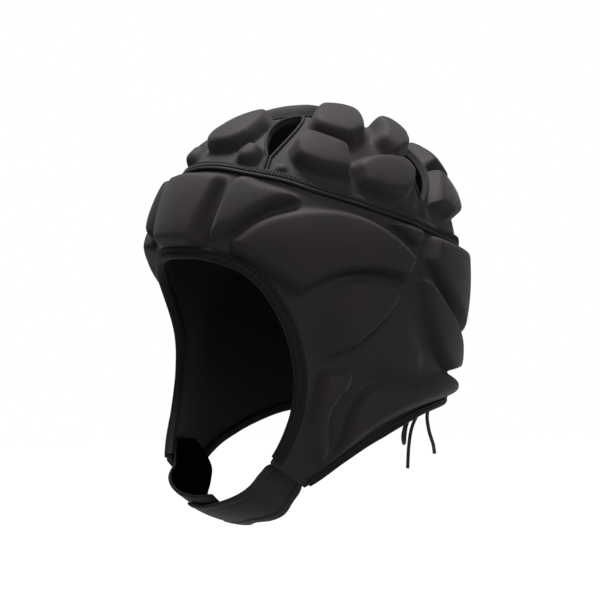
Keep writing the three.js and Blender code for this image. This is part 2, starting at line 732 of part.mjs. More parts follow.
// The hook-and-loop patch on the inside of the right tab
function hookPatch() {
  const rows = RIGHT_TAB.stations.slice(0, 8);
  const under = TAB_THICKNESS + 2 * CLEARANCE;
  const grid = (down) => rows.map((station) => [0.06, 0.35, 0.65, 0.94].map((t) => (
    tabPlace(RIGHT_TAB, station, t, under + down)
  )));
  return slab(grid(0), grid(PATCH_THICKNESS));
}

add("hook_patch", hookPatch(), "patch");

// A round cord along a smooth curve through its points
function cord(points, diameter, count) {
  const sides = 6;
  const outline = new THREE.Shape(Array.from({ length: sides }, (_, i) => new THREE.Vector2(
    (diameter / 2) * Math.cos((2 * Math.PI * i) / sides),
    (diameter / 2) * Math.sin((2 * Math.PI * i) / sides),
  )));
  const path = new THREE.CatmullRomCurve3(points, false, "centripetal");
  const geometry = new THREE.ExtrudeGeometry(outline, { steps: count, extrudePath: path });
  const at = mergeVertices(stripped(geometry), 1e-3).attributes.position;
  const index = mergeVertices(stripped(geometry), 1e-3).index.array;
  const corners = Array.from({ length: at.count }, (_, i) => new THREE.Vector3().fromBufferAttribute(at, i));
  const triangles = [];
  for (let i = 0; i < index.length; i += 3) triangles.push([index[i], index[i + 1], index[i + 2]]);
  return body(corners, triangles);
}

function stripped(geometry) {
  geometry.deleteAttribute("normal");
  geometry.deleteAttribute("uv");
  return geometry;
}

// A place at the nape, at a distance to the wearer's left of the slit
function napePlace(x, z, lift) {
  const side = reach(z, HALF_WIDTH, JAW_HALF_WIDTH, SIDE_ROUNDNESS) * (1 + EGG_SHARE);
  const turn = 180 - THREE.MathUtils.radToDeg(Math.asin(x / side));
  return surface(turn, z).addScaledVector(outward(turn, z), lift);
}

// The lace: bars across the slit on the outside, joined up the inside from eyelet to eyelet
function laceCross() {
  const outside = 0.8 * LACE_DIAMETER;
  const inside = -WALL - 0.8 * LACE_DIAMETER;
  const points = [];
  eyeletZ.forEach((z, i) => {
    const hand = i % 2 ? -1 : 1;
    const first = hand * EYELET_SPACING;
    points.push(napePlace(first, z - (i ? LACE_DIAMETER / 2 : 0), inside));
    points.push(napePlace(first, z, -WALL / 2));
    points.push(napePlace(first * 0.8, z, outside));
    points.push(napePlace(-first * 0.8, z, outside));
    points.push(napePlace(-first, z, -WALL / 2));
    points.push(napePlace(-first, z + (i < EYELET_PAIRS - 1 ? LACE_DIAMETER / 2 : 0), inside));
  });
  return cord(points, LACE_DIAMETER, 48);
}

add("lace_cross", laceCross(), "lace");

// The knot hangs under the lowest bar, on the outside of the nape
function laceKnot() {
  const half = KNOT_WIDTH / 2;
  const knot = new THREE.SphereGeometry(half, 12, 8);
  knot.scale(1, 0.7, 0.7);
  const z = eyeletZ[0] - LACE_DIAMETER / 2 - 0.7 * half - CLEARANCE;
  const at = napePlace(0, z, 0.7 * half + PAD_SEAT);
  knot.translate(at.x, at.y, at.z);
  return mergeVertices(stripped(knot), 1e-3);
}

add("lace_knot", laceKnot(), "lace");

// The free ends and the loop below the knot: places in millimetres, chosen by hand
const LACE_ENDS = {
  lace_loop: [
    [-5, 103, -86.1], [-5.6, 102.8, -88.6], [-9, 102.4, -93], [-13.9, 102, -99], [-17.6, 101.6, -105.5],
    [-18.8, 101, -111.5], [-17.6, 100.2, -115], [-14.7, 98.2, -116.5], [-11.8, 96.1, -115], [-10.6, 95.3, -111.5],
    [-10.5, 96.3, -105.5], [-9.2, 98.6, -98.5], [-5.3, 101.4, -93], [-2.5, 102.8, -89.6], [-2.1, 103, -87.1],
  ],
  lace_end_long: [
    [1.2, 103, -87.1], [1.3, 103, -89.2], [0, 102.2, -92], [-4.2, 100.8, -97.5], [-8, 99.2, -106], [-9.6, 98, -118],
    [-10, 97.3, -133],
  ],
  lace_end_short: [
    [4.3, 103, -86.5], [4.4, 103, -88.6], [4.9, 102.8, -92], [4.4, 101.7, -98], [6, 102, -108], [9, 103, -117], [10, 103.3, -123],
  ],
};

for (const [name, places] of Object.entries(LACE_ENDS)) {
  const points = places.map(([x, y, z]) => new THREE.Vector3(x, y, z));
  add(name, cord(points, LACE_END_DIAMETER, 2 * points.length), "lace");
}

export default cap;
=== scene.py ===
import math

import bpy
import numpy as np
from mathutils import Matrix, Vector
from mathutils.kdtree import KDTree


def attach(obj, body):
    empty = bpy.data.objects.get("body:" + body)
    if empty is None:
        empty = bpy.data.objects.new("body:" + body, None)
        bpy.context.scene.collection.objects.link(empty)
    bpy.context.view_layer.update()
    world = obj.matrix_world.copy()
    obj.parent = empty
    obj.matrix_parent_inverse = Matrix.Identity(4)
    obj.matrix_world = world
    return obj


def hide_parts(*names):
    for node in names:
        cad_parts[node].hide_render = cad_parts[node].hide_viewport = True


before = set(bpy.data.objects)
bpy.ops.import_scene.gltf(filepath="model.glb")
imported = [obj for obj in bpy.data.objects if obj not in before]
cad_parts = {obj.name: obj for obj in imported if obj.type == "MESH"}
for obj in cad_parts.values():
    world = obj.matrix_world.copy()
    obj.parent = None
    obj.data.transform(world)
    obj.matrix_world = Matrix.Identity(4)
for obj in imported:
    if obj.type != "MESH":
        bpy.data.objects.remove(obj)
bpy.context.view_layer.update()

MM = 0.001

# The camera stands where the photograph was taken, ahead and to the wearer's left
PIXELS_PER_MM, PICTURE_SIZE, ORIGIN_PIXEL, SENSOR_WIDTH = 1.55, 600, (305, 265), 36
CAMERA_TURN, CAMERA_LIFT, CAMERA_DISTANCE = 50.0, -1.0, 2.5


def photo_camera():
    turn, lift = math.radians(CAMERA_TURN), math.radians(CAMERA_LIFT)
    back = Vector((math.sin(turn) * math.cos(lift), -math.cos(turn) * math.cos(lift), math.sin(lift)))
    right = (-back).cross(Vector((0, 0, 1))).normalized()
    up = right.cross(-back)
    across, down = (PICTURE_SIZE / 2 - pixel for pixel in ORIGIN_PIXEL)
    target = (right * across - up * down) * MM / PIXELS_PER_MM
    data = bpy.data.cameras.new("photo_camera")
    data.sensor_width = SENSOR_WIDTH
    data.lens = SENSOR_WIDTH * CAMERA_DISTANCE / MM * PIXELS_PER_MM / PICTURE_SIZE
    data.clip_end = 30
    camera = bpy.data.objects.new("photo_camera", data)
    bpy.context.scene.collection.objects.link(camera)
    camera.location = target + back * CAMERA_DISTANCE
    camera.rotation_mode = "QUATERNION"
    camera.rotation_quaternion = back.to_track_quat("Z", "Y")
    bpy.context.scene.camera = camera


photo_camera()


# Meshes

# Every piece rides the one body and may stand for CAD nodes
def belongs(piece, slot, *nodes):
    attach(piece, "root")
    if nodes:
        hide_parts(*nodes)


# A mesh whose faces are turned outwards, whichever way round they come
def mesh_piece(name, points, faces, uv=None):
    points = np.asarray(points, float)
    corner = lambda k: points[[face[k] for face in faces]]
    last = points[[face[-1] for face in faces]]
    volume = np.einsum("ij,ij->", corner(0), np.cross(corner(1), corner(2)) + np.cross(corner(2), last))
    faces = [tuple(int(i) for i in (face if volume > 0 else face[::-1])) for face in faces]
    mesh = bpy.data.meshes.new(name)
    mesh.from_pydata([tuple(point) for point in points], [], faces)
    mesh.polygons.foreach_set("use_smooth", [True] * len(mesh.polygons))
    if uv is not None:
        layer = mesh.uv_layers.new(name="cloth")
        corners = np.empty(len(mesh.loops), dtype=np.int64)
        mesh.loops.foreach_get("vertex_index", corners)
        layer.data.foreach_set("uv", np.asarray(uv, float)[corners].ravel())
    mesh.validate()
    piece = bpy.data.objects.new(name, mesh)
    bpy.context.scene.collection.objects.link(piece)
    return piece


def smoothed_corners(piece, degrees=50):
    piece.data.set_sharp_from_angle(angle=math.radians(degrees))


STEPS_BETWEEN_POINTS = 24


def length_along(points):
    return np.concatenate([[0], np.cumsum(np.linalg.norm(np.diff(points, axis=0), axis=1))])


# A smooth curve through points of any width, sampled at equal shares of its length
def smooth_run(points, count):
    points = np.asarray(points, float)
    points = np.vstack([2 * points[0] - points[1], points, 2 * points[-1] - points[-2]])
    gaps = np.linalg.norm(np.diff(points, axis=0), axis=1) ** 0.5
    knots = np.concatenate([[0], np.cumsum(np.maximum(gaps, 1e-9))])
    fine = []
    for i in range(1, len(points) - 2):
        t0, t1, t2, t3 = knots[i - 1:i + 3]
        p0, p1, p2, p3 = points[i - 1:i + 3]
        t = np.linspace(t1, t2, STEPS_BETWEEN_POINTS, endpoint=False)[:, None]
        a1 = (t1 - t) / (t1 - t0) * p0 + (t - t0) / (t1 - t0) * p1
        a2 = (t2 - t) / (t2 - t1) * p1 + (t - t1) / (t2 - t1) * p2
        a3 = (t3 - t) / (t3 - t2) * p2 + (t - t2) / (t3 - t2) * p3
        b1 = (t2 - t) / (t2 - t0) * a1 + (t - t0) / (t2 - t0) * a2
        b2 = (t3 - t) / (t3 - t1) * a2 + (t - t1) / (t3 - t1) * a3
        fine.append((t2 - t) / (t2 - t1) * b1 + (t - t1) / (t2 - t1) * b2)
    fine = np.vstack(fine + [points[-2][None, :]])
    length = length_along(fine)
    want = np.linspace(0, length[-1], count)
    return np.stack([np.interp(want, length, fine[:, k]) for k in range(fine.shape[1])], axis=1)


def normalized(vectors):
    return vectors / np.maximum(np.linalg.norm(vectors, axis=-1, keepdims=True), 1e-12)


# Directions along a row of points
def tangents(points, closed=False):
    if closed:
        return normalized(np.roll(points, -1, axis=0) - np.roll(points, 1, axis=0))
    return normalized(np.gradient(points, axis=0))


# A body through rings of points, each ring closed; the row of rings is capped or closes on itself
def loft(name, rings, closed=False):
    rings = np.asarray(rings)
    count, size = rings.shape[:2]
    faces = []
    for r in range(count if closed else count - 1):
        a, b = r * size, (r + 1) % count * size
        faces += [(a + k, a + (k + 1) % size, b + (k + 1) % size, b + k) for k in range(size)]
    if not closed:
        faces += [tuple(range(size))[::-1], tuple(range((count - 1) * size, count * size))]
    run = length_along(rings.mean(axis=1))
    around = length_along(rings[count // 2])
    uv = np.stack(np.broadcast_arrays(run[:, None], around[None, :]), axis=-1).reshape(-1, 2)
    return mesh_piece(name, rings.reshape(-1, 3), faces, uv)


# Frames that turn as little as they can along a path
def turning_frames(points, closed=False):
    along = tangents(points, closed)
    side = np.cross(along[0], (0.3, 0.5, 0.81))
    sides = []
    for direction in along:
        side = side - direction * side.dot(direction)
        side = side / np.linalg.norm(side)
        sides.append(side)
    sides = np.array(sides)
    if closed:
        last = sides[-1] - along[0] * sides[-1].dot(along[0])
        last = last / np.linalg.norm(last)
        twist = math.atan2(np.cross(sides[0], last).dot(along[0]), sides[0].dot(last))
        back = -twist * np.arange(len(points)) / len(points)
        ups = np.cross(along, sides)
        sides = sides * np.cos(back)[:, None] + ups * np.sin(back)[:, None]
    return sides, np.cross(along, sides)


LACE_SIDES = 16
BRAID_PITCH, BRAID_SWELL = 2.2, 0.05


# A round lace: its girth has the small swells of eight braided strands
def lace(name, points, diameter, closed=False):
    sides, ups = turning_frames(points, closed)
    angle = np.linspace(0, 2 * math.pi, LACE_SIDES, endpoint=False)
    lean = length_along(points)[:, None] / (BRAID_PITCH * diameter) * 2 * math.pi
    swell = 1 + BRAID_SWELL * np.sin(4 * angle + lean) * np.sin(4 * angle - lean)
    radius = (diameter / 2 * swell)[..., None]
    rings = (points[:, None] + radius * (np.cos(angle)[None, :, None] * sides[:, None]
                                         + np.sin(angle)[None, :, None] * ups[:, None]))
    return loft(name, rings, closed)


# The free lace ends come first: the loop and the two ends below the knot, in metres
LACE_ENDS = {
    "lace_loop": [
        (-0.005, 0.103, -0.0861), (-0.0056, 0.1028, -0.0886), (-0.009, 0.1024, -0.093),
        (-0.0139, 0.102, -0.099), (-0.0176, 0.1016, -0.1055), (-0.0188, 0.101, -0.1115),
        (-0.0176, 0.1002, -0.115), (-0.0147, 0.0982, -0.1165), (-0.0118, 0.0961, -0.115),
        (-0.0106, 0.0953, -0.1115), (-0.0105, 0.0963, -0.1055), (-0.0092, 0.0986, -0.0985),
        (-0.0053, 0.1014, -0.093), (-0.0025, 0.1028, -0.0896), (-0.0021, 0.103, -0.0871),
    ],
    "lace_end_long": [
        (0.0012, 0.103, -0.0871), (0.0013, 0.103, -0.0892), (0.0, 0.1022, -0.092), (-0.0042, 0.1008, -0.0975),
        (-0.008, 0.0992, -0.106), (-0.0096, 0.098, -0.118), (-0.01, 0.0973, -0.133),
    ],
    "lace_end_short": [
        (0.0043, 0.103, -0.0865), (0.0044, 0.103, -0.0886), (0.0049, 0.1028, -0.092), (0.0044, 0.1017, -0.098),
        (0.006, 0.102, -0.108), (0.009, 0.103, -0.117), (0.01, 0.1033, -0.123),
    ],
}
LACE_END_DIAMETER, LACE_END_RINGS = 0.0024, 90


def free_laces():
    pieces = []
    for name, places in LACE_ENDS.items():
        run = smooth_run(places, LACE_END_RINGS)
        piece = lace(f"{name}_braid", run, LACE_END_DIAMETER)
        belongs(piece, "lace", name)
        pieces.append(piece)
    return pieces


laces = free_laces()


# The head shape, in millimetres, as in the solids

HALF_WIDTH, BROW_REACH, NAPE_REACH = 81, 105, 107
JAW_HALF_WIDTH, JAW_FRONT_REACH, JAW_BACK_REACH = 76, 111, 97
CROWN_RISE, CHIN_DROP, JAW_SHARE, EGG_SHARE = 95, 167, 0.606, 0.06
SIDE_ROUNDNESS, FRONT_ROUNDNESS, BACK_ROUNDNESS, CHIN_ROUNDNESS = 2.15, 2, 2.3, 2.6
CHEEK_HOLLOW, CHEEK_DROP, CHEEK_HEIGHT = 6, 42, 38
BROW_FLARE, BROW_HEIGHT = 1.5, 30
WALL, CLEARANCE = 3, 0.3
PAD_SEAT = 0.85


def height(level):
    level = np.asarray(level, float)
    return level * np.where(level < 0, CHIN_DROP, CROWN_RISE)


def level_of(z):
    z = np.asarray(z, float)
    return z / np.where(z < 0, CHIN_DROP, CROWN_RISE)


def ease(t):
    t = np.clip(t, 0, 1)
    return t * t * (3 - 2 * t)


def mix(a, b, t):
    return a + (b - a) * t


# How far the head reaches to one side at a height: crown, cheek and chin
def reach(z, brow, jaw, roundness):
    jaw_z = -JAW_SHARE * CHIN_DROP
    crown = brow * (1 - np.clip(z / CROWN_RISE, 0, 1) ** roundness) ** (1 / roundness)
    cheek = mix(brow, jaw, ease(z / jaw_z))
    below = np.clip((z - jaw_z) / (-CHIN_DROP - jaw_z), 0, 1)
    chin = jaw * (1 - below ** CHIN_ROUNDNESS) ** (1 / CHIN_ROUNDNESS)
    return np.where(z >= 0, crown, np.where(z > jaw_z, cheek, chin))


# The shell's outer face, drawn in at the cheeks and flared at the brow
def surface(turn, z):
    c, s = np.cos(np.radians(turn)), np.sin(np.radians(turn))
    side = reach(z, HALF_WIDTH, JAW_HALF_WIDTH, SIDE_ROUNDNESS) * (1 - EGG_SHARE * c)
    fore = np.where(c > 0, reach(z, BROW_REACH, JAW_FRONT_REACH, FRONT_ROUNDNESS),
                    reach(z, NAPE_REACH, JAW_BACK_REACH, BACK_ROUNDNESS))
    drawn = CHEEK_HOLLOW * ease((c - 0.15) / 0.45) * np.exp(-(((z + CHEEK_DROP) / CHEEK_HEIGHT) ** 2))
    drawn = drawn - BROW_FLARE * ease((c - 0.3) / 0.4) * np.exp(-((z / BROW_HEIGHT) ** 2))
    return np.stack(np.broadcast_arrays((side - drawn) * s, -(fore - drawn) * c, z), axis=-1)


def outward(turn, z):
    step = 0.3
    low = np.maximum(z - step, step / 6 - CHIN_DROP)
    high = np.minimum(z + step, CROWN_RISE - step / 6)
    around = surface(turn + step, z) - surface(turn - step, z)
    up = surface(turn, high) - surface(turn, low)
    return normalized(np.cross(around, up))


# A place on the side by turn and level, or on the crown by degrees from the apex, in metres
def side_place(turn, level, lift=0.0):
    z = height(level)
    turn = np.asarray(turn, float)
    return (surface(turn, z) + outward(turn, z) * np.asarray(lift)[..., None]) * MM


def crown_turn(across, along):
    tilt = np.maximum(np.hypot(across, along), 0.05)
    z = CROWN_RISE * np.cos(np.radians(np.minimum(tilt, 90))) ** (2 / SIDE_ROUNDNESS)
    return np.degrees(np.arctan2(across, along)), np.minimum(z, CROWN_RISE - 0.02)


def crown_place(across, along, lift=0.0):
    turn, z = crown_turn(np.asarray(across, float), np.asarray(along, float))
    return (surface(turn, z) + outward(turn, z) * np.asarray(lift)[..., None]) * MM


def crown_tilt(z):
    return np.degrees(np.arccos(np.clip(z / CROWN_RISE, 0, 1) ** (SIDE_ROUNDNESS / 2)))


# The lines that bound the shell, as turns in degrees and levels
SEAM_LINE = [
    (0, 0.642), (15, 0.632), (34, 0.59), (49, 0.548), (62, 0.485), (75, 0.426), (88, 0.363), (101, 0.3),
    (117, 0.222), (133, 0.18), (155, 0.148), (180, 0.137),
]
HEM_LINE = [
    (0, -0.91), (50, -0.9), (58, -0.86), (66, -0.815), (75, -0.748), (86, -0.675), (100, -0.61), (116, -0.56),
    (144, -0.527), (180, -0.51),
]
FACE_LINE = [
    (0, 0.036), (13, 0.03), (24, -0.002), (33, -0.035), (41, -0.095), (48.5, -0.19), (53.5, -0.28),
    (56.5, -0.375), (57.8, -0.46), (57, -0.545), (54.8, -0.625), (51.5, -0.7), (48, -0.755),
]
JAW_SEAM_END = (61, -0.85)


# The level of a line at a turn, smooth between its rows and the same on both sides
def level_on(line, turn):
    rows = np.array(line, float)
    turns, levels = rows[:, 0], rows[:, 1]
    at = np.abs((np.asarray(turn, float) + 180) % 360 - 180)
    i = np.clip(np.searchsorted(turns, at), 1, len(rows) - 1)
    before_t = np.concatenate([[-turns[1]], turns])
    before_l = np.concatenate([[levels[1]], levels])
    after_t = np.concatenate([turns, [2 * turns[-1] - turns[-2]]])
    after_l = np.concatenate([levels, [levels[-2]]])
    t1, l1, t2, l2 = turns[i - 1], levels[i - 1], turns[i], levels[i]
    slope1 = (l2 - before_l[i - 1]) / (t2 - before_t[i - 1])
    slope2 = (after_l[i + 1] - l1) / (after_t[i + 1] - t1)
    w = t2 - t1
    t = np.clip((at - t1) / w, 0, 1)
    return ((2 * t ** 3 - 3 * t ** 2 + 1) * l1 + (t ** 3 - 2 * t ** 2 + t) * w * slope1
            + (3 * t ** 2 - 2 * t ** 3) * l2 + (t ** 3 - t ** 2) * w * slope2)


# The raised pads of the wearer's left: two rails each, over and under, that meet or face at the ends.
# In mm, rise is a pad's height, wall the width of its sloping side and corner the rounding of its
# outline. A soft pad has a rounded foot, and fade gives the turns between which it rises from the shell.
SIDE_PADS = [
    {"name": "temple", "over": [(20, 0.14), (22, 0.33), (26, 0.515), (40, 0.49), (56, 0.41)],
     "under": [(20, 0.14), (31, 0.2), (39, 0.295), (47, 0.36), (56, 0.41)]},
    {"name": "upper", "wall": 4,
     "over": [(29, 0.11), (40, 0.25), (51, 0.31), (65, 0.33), (79, 0.285), (91, 0.175), (101, 0.03)],
     "under": [(29, 0.11), (36, 0.05), (44, -0.015), (50, -0.06), (56.5, -0.1), (64, -0.058), (76, -0.028),
               (88, -0.033), (97, -0.06)]},
    {"name": "wedge", "rise": 6.5, "wall": 4,
     "over": [(90, 0.265), (98, 0.25), (105, 0.225)],
     "under": [(90, 0.265), (96, 0.19), (101, 0.12), (106, 0.17)]},
    {"name": "lower", "wall": 4, "fade": (62, 80),
     "over": [(58.5, -0.13), (67.5, -0.09), (76.5, -0.07), (86.5, -0.083), (94.5, -0.115)],
     "under": [(64.5, -0.365), (71, -0.348), (79.5, -0.29), (88, -0.205), (94.5, -0.115)]},
    {"name": "cheek", "wall": 6.5, "corner": 6, "soft": True, "fade": (58, 70),
     "over": [(65.5, -0.4), (63.5, -0.475), (60.5, -0.59), (57.5, -0.685)],
     "under": [(78, -0.4), (77, -0.46), (71.5, -0.54), (69, -0.62), (69.5, -0.7), (67, -0.765)]},
    {"name": "ear", "rise": 3, "wall": 14, "soft": True,
     "over": [(81, -0.435), (83, -0.3), (90, -0.225), (98, -0.14)],
     "under": [(110, -0.425), (111.5, -0.36), (106.5, -0.255), (98, -0.14)]},
    {"name": "jaw", "rise": 8, "wall": 7,
     "over": [(66.5, -0.775), (73, -0.67), (76.5, -0.56), (82, -0.475), (100, -0.465), (113, -0.437),
              (128, -0.424), (146, -0.424)],
     "under": [(66.5, -0.775), (76, -0.7), (88, -0.615), (104, -0.553), (125, -0.515), (146, -0.503)]},
    {"name": "back_strip",
     "over": [(103.5, -0.055), (105.5, -0.145), (111, -0.26), (118, -0.345), (131, -0.405)],
     "under": [(107, -0.05), (119, -0.15), (134, -0.245), (146, -0.32), (154, -0.4)]},
    {"name": "back_tall", "over": [(111, 0.185), (130, 0.13), (150, 0.095), (166, 0.085)],
     "under": [(107.5, 0.01), (118.5, -0.1), (136, -0.2), (152, -0.26), (166, -0.28)]},
]
FOREHEAD_PAD = {"name": "forehead", "over": [(-20, 0.55), (0, 0.57), (20, 0.55)],
                "under": [(-13, 0.11), (0, 0.115), (13, 0.11)]}

# The same for the crown, in degrees across and along from the apex
CROWN_PADS = [
    {"name": "corner", "rise": 6.5, "over": [(17, 38), (24, 37)], "under": [(16, 45), (21, 47), (27, 42.5)]},
    {"name": "top", "rise": 10.2, "over": [(3, -4), (15, 6.5), (27, 15), (34, 12)],
     "under": [(3, -13), (17, -10), (34, -3), (39.5, 5)]},
    {"name": "front", "rise": 10.6, "over": [(29.5, 20), (36, 15.5), (43.5, 9)],
     "under": [(33, 28.5), (41, 31), (51, 24), (56.5, 14.5)]},
    {"name": "rear", "rise": 10.9, "over": [(19, -14), (29, -12), (38, -7)],
     "under": [(11, -23), (25, -24), (37.5, -21.5), (47.5, -11)]},
    {"name": "side", "over": [(52, 9.5), (48.5, -1), (47, -15.5)],
     "under": [(62, 10), (66, -1), (64, -13), (53, -19.5)]},
    {"name": "edge", "rise": 4, "over": [(66, -8), (66.5, -13), (64.5, -18)],
     "under": [(69, -7.5), (69, -14), (67, -19)]},
    {"name": "nape_top", "over": [(8, -37), (20, -38), (33, -36.5)], "under": [(8, -51), (20, -53), (32, -50)]},
    {"name": "nape_side", "over": [(40, -35), (51, -32.5), (62.5, -29.5)],
     "under": [(36, -53), (47, -54), (60, -43)]},
    {"name": "button", "rise": 3, "over": [(36.5, 37.5), (39.5, 35.5)], "under": [(38, 39.5), (41, 37.5)]},
]
CROWN_MIDDLE_PADS = [
    {"name": "brow", "over": [(-10.5, 25), (0, 17), (10.5, 25)],
     "under": [(-14, 35.5), (-8, 42.5), (8, 42.5), (14, 35.5)]},
    {"name": "nape_middle", "over": [(-5, -38), (5, -38)], "under": [(-5, -50), (5, -50)]},
    {"name": "nape_low", "over": [(-24, -56), (0, -53.5), (24, -56)],
     "under": [(-30, -66), (0, -74), (30, -66)]},
]

# How pads rise where their row says nothing else: crest is how much of the rise is a dome, bend how
# steep the foot is, spread how far a pad goes past its edge, margin where to look for it on the chart
SIDE_RELIEF = {"rise": 9, "wall": 5, "crest": 0.1, "bend": 2, "spread": 1.0, "corner": 4, "margin": (2.5, 0.02)}
CROWN_RELIEF = {"rise": 9.5, "wall": 6, "crest": 0.12, "bend": 2.3, "spread": 1.9, "corner": 4,
                "margin": (2.5, 2.5)}
RAIL_STEPS, END_STEPS, OUTLINE_STEPS = 240, 60, 500
FADE_FLOOR = 0.06
SOFTENING_PASSES = 3
UNEVENNESS = 0.12


def mirrored(pad):
    flip = lambda rail: [(-a, b) for a, b in rail]
    return {**pad, "over": flip(pad["over"]), "under": flip(pad["under"])}


# The closed edge of a pad in its chart, with rounded corners
def outline(pad):
    levels = np.abs(np.array(pad["over"])[:, 1]).max() < 1
    scale = np.array((1, 100 if levels else 1))
    over = smooth_run(pad["over"], RAIL_STEPS) * scale
    under = smooth_run(pad["under"], RAIL_STEPS) * scale
    share = np.linspace(0, 1, END_STEPS)[:, None]
    edge = np.vstack([over, mix(over[-1], under[-1], share), under[::-1], mix(under[0], over[0], share)])
    length = length_along(edge)
    want = np.linspace(0, length[-1], OUTLINE_STEPS, endpoint=False)
    edge = np.stack([np.interp(want, length, edge[:, k]) for k in range(2)], axis=1)
    reach_out = max(1, round(pad["corner"] / (length[-1] / OUTLINE_STEPS)))
    weights = np.hanning(2 * reach_out + 3)[1:-1]
    wide = np.vstack([edge[-reach_out:], edge, edge[:reach_out]])
    rounded_edge = [np.convolve(wide[:, k], weights / weights.sum(), mode="valid") for k in range(2)]
    return np.stack(rounded_edge, axis=1) / scale


def inside(chart, polygon):
    x, y = chart[:, 0], chart[:, 1]
    result = np.zeros(len(chart), bool)
    for (x1, y1), (x2, y2) in zip(polygon, np.roll(polygon, -1, axis=0)):
        if y1 != y2:
            crosses = ((y1 > y) != (y2 > y)) & (x < (x2 - x1) * (y - y1) / (y2 - y1) + x1)
            result ^= crosses
    return result


def nearest_of(points):
    tree = KDTree(len(points))
    for i, point in enumerate(points):
        tree.insert(point, i)
    tree.balance()
    return tree


# How far each point of a skin is raised by its pads, in mm
def relief(chart, place, pads, form):
    flat = chart.reshape(-1, 2)
    base = place(flat[:, 0], flat[:, 1]) / MM
    raised = np.zeros(len(flat))
    for row in pads:
        pad = {**form, **row}
        edge = outline(pad)
        low, high = edge.min(axis=0) - pad["margin"], edge.max(axis=0) + pad["margin"]
        near = np.flatnonzero(((flat >= low) & (flat <= high)).all(axis=1))
        if not len(near):
            continue
        tree = nearest_of(place(edge[:, 0], edge[:, 1]) / MM)
        depth = np.array([tree.find(base[i])[2] for i in near])
        depth = np.where(inside(flat[near], edge), depth, -depth) + pad["spread"]
        near, depth = near[depth > 0], depth[depth > 0]
        slope = np.clip(depth / pad["wall"], 0, 1)
        swell = np.clip(depth / max(depth.max(), 1e-6), 0, 1)
        side = ease(slope) if "soft" in pad else 1 - (1 - slope) ** pad["bend"]
        up = side * (1 - pad["crest"] + pad["crest"] * (1 - (1 - swell) ** 2))
        if "fade" in pad:
            start, end = pad["fade"]
            up *= mix(FADE_FLOOR, 1, ease((np.abs(flat[near, 0]) - start) / (end - start)))
        raised[near] = np.maximum(raised[near], up * (pad["rise"] + PAD_SEAT))
    return raised.reshape(chart.shape[:2])


# Each point drawn towards its four neighbours
def softened(field, ring):
    for _ in range(SOFTENING_PASSES):
        wide = np.pad(field, ((1, 1), (0, 0)), mode="edge")
        wide = np.pad(wide, ((0, 0), (1, 1)), mode="wrap" if ring else "edge")
        field = (4 * field + wide[:-2, 1:-1] + wide[2:, 1:-1] + wide[1:-1, :-2] + wide[1:-1, 2:]) / 8
    return field


# The outer and the inner face of a skin, with the small unevenness of cloth over foam
def padded_faces(chart, place, pads, form, ring=False, share=1):
    raised = softened(relief(chart, place, pads, form), ring) * share
    a, b = chart[..., 0], chart[..., 1]
    x, y, z = (place(a, b)[..., k] / MM for k in range(3))
    ripple = np.sin(x / 9.1 + 1.3 * np.sin(z / 13)) * np.sin(y / 11.3 + 0.7)
    ripple = ripple + np.sin(z / 7.7 + x / 17 + 2.1) * 0.6
    raised = raised + UNEVENNESS * ripple * np.clip(raised / 3, 0.15, 1)
    return place(a, b, raised), place(a, b, np.full(a.shape, -float(WALL)))


# A closed skin from an outer and an inner grid of rows and columns; cells that aren't kept are open
def skin(name, outer, inner, chart_uv, keep, ring=False):
    rows, columns = outer.shape[:2]
    number = np.arange(rows * columns).reshape(rows, columns)
    if ring:
        number = np.hstack([number, number[:, :1]])
    a, b, c, d = number[:-1, :-1], number[:-1, 1:], number[1:, 1:], number[1:, :-1]
    quads = np.stack([a, b, c, d], axis=-1)[keep]
    under = rows * columns
    faces = [quads, quads[:, ::-1] + under]
    edges = np.concatenate([quads[:, [0, 1]], quads[:, [1, 2]], quads[:, [2, 3]], quads[:, [3, 0]]])
    key = edges[:, 0] * under + edges[:, 1]
    back = edges[:, 1] * under + edges[:, 0]
    rim = edges[~np.isin(key, back)]
    faces.append(np.stack([rim[:, 1], rim[:, 0], rim[:, 0] + under, rim[:, 1] + under], axis=-1))
    faces = np.vstack(faces)
    used, compact = np.unique(faces, return_inverse=True)
    points = np.vstack([outer.reshape(-1, 3), inner.reshape(-1, 3)])[used]
    uv = np.vstack([chart_uv.reshape(-1, 2)] * 2)[used]
    piece = mesh_piece(name, points, compact.reshape(faces.shape), uv)
    # The inner face is marked as lining, for the painted shade that darkens it
    lining = piece.data.attributes.new("lining", "FLOAT", "POINT")
    lining.data.foreach_set("value", (used >= under).astype(float))
    smoothed_corners(piece, 60)
    return piece


# The side skin: from the hem to the crown seam, all the way round
SIDE_COLUMNS, SIDE_ROWS = 440, 140
SLIT_WIDTH, SLIT_HEIGHT = 6, 66
BELOW_HEM = -0.99
SIDE_GIRTH_RADIUS = 92


# The edge of the face opening, from the wearer's left jaw over the brow to the right jaw
def face_curve():
    left = smooth_run(FACE_LINE, 160)
    start = np.array(JAW_SEAM_END, float)
    share = np.linspace(0.05, 0.95, 30)[:, None]
    rising = np.vstack([start[None], mix(start, left[-1], share), left[::-1]])
    falling = np.vstack([left[1:], mix(left[-1], start, share), start[None]])
    return np.vstack([rising, falling * (-1, 1)])


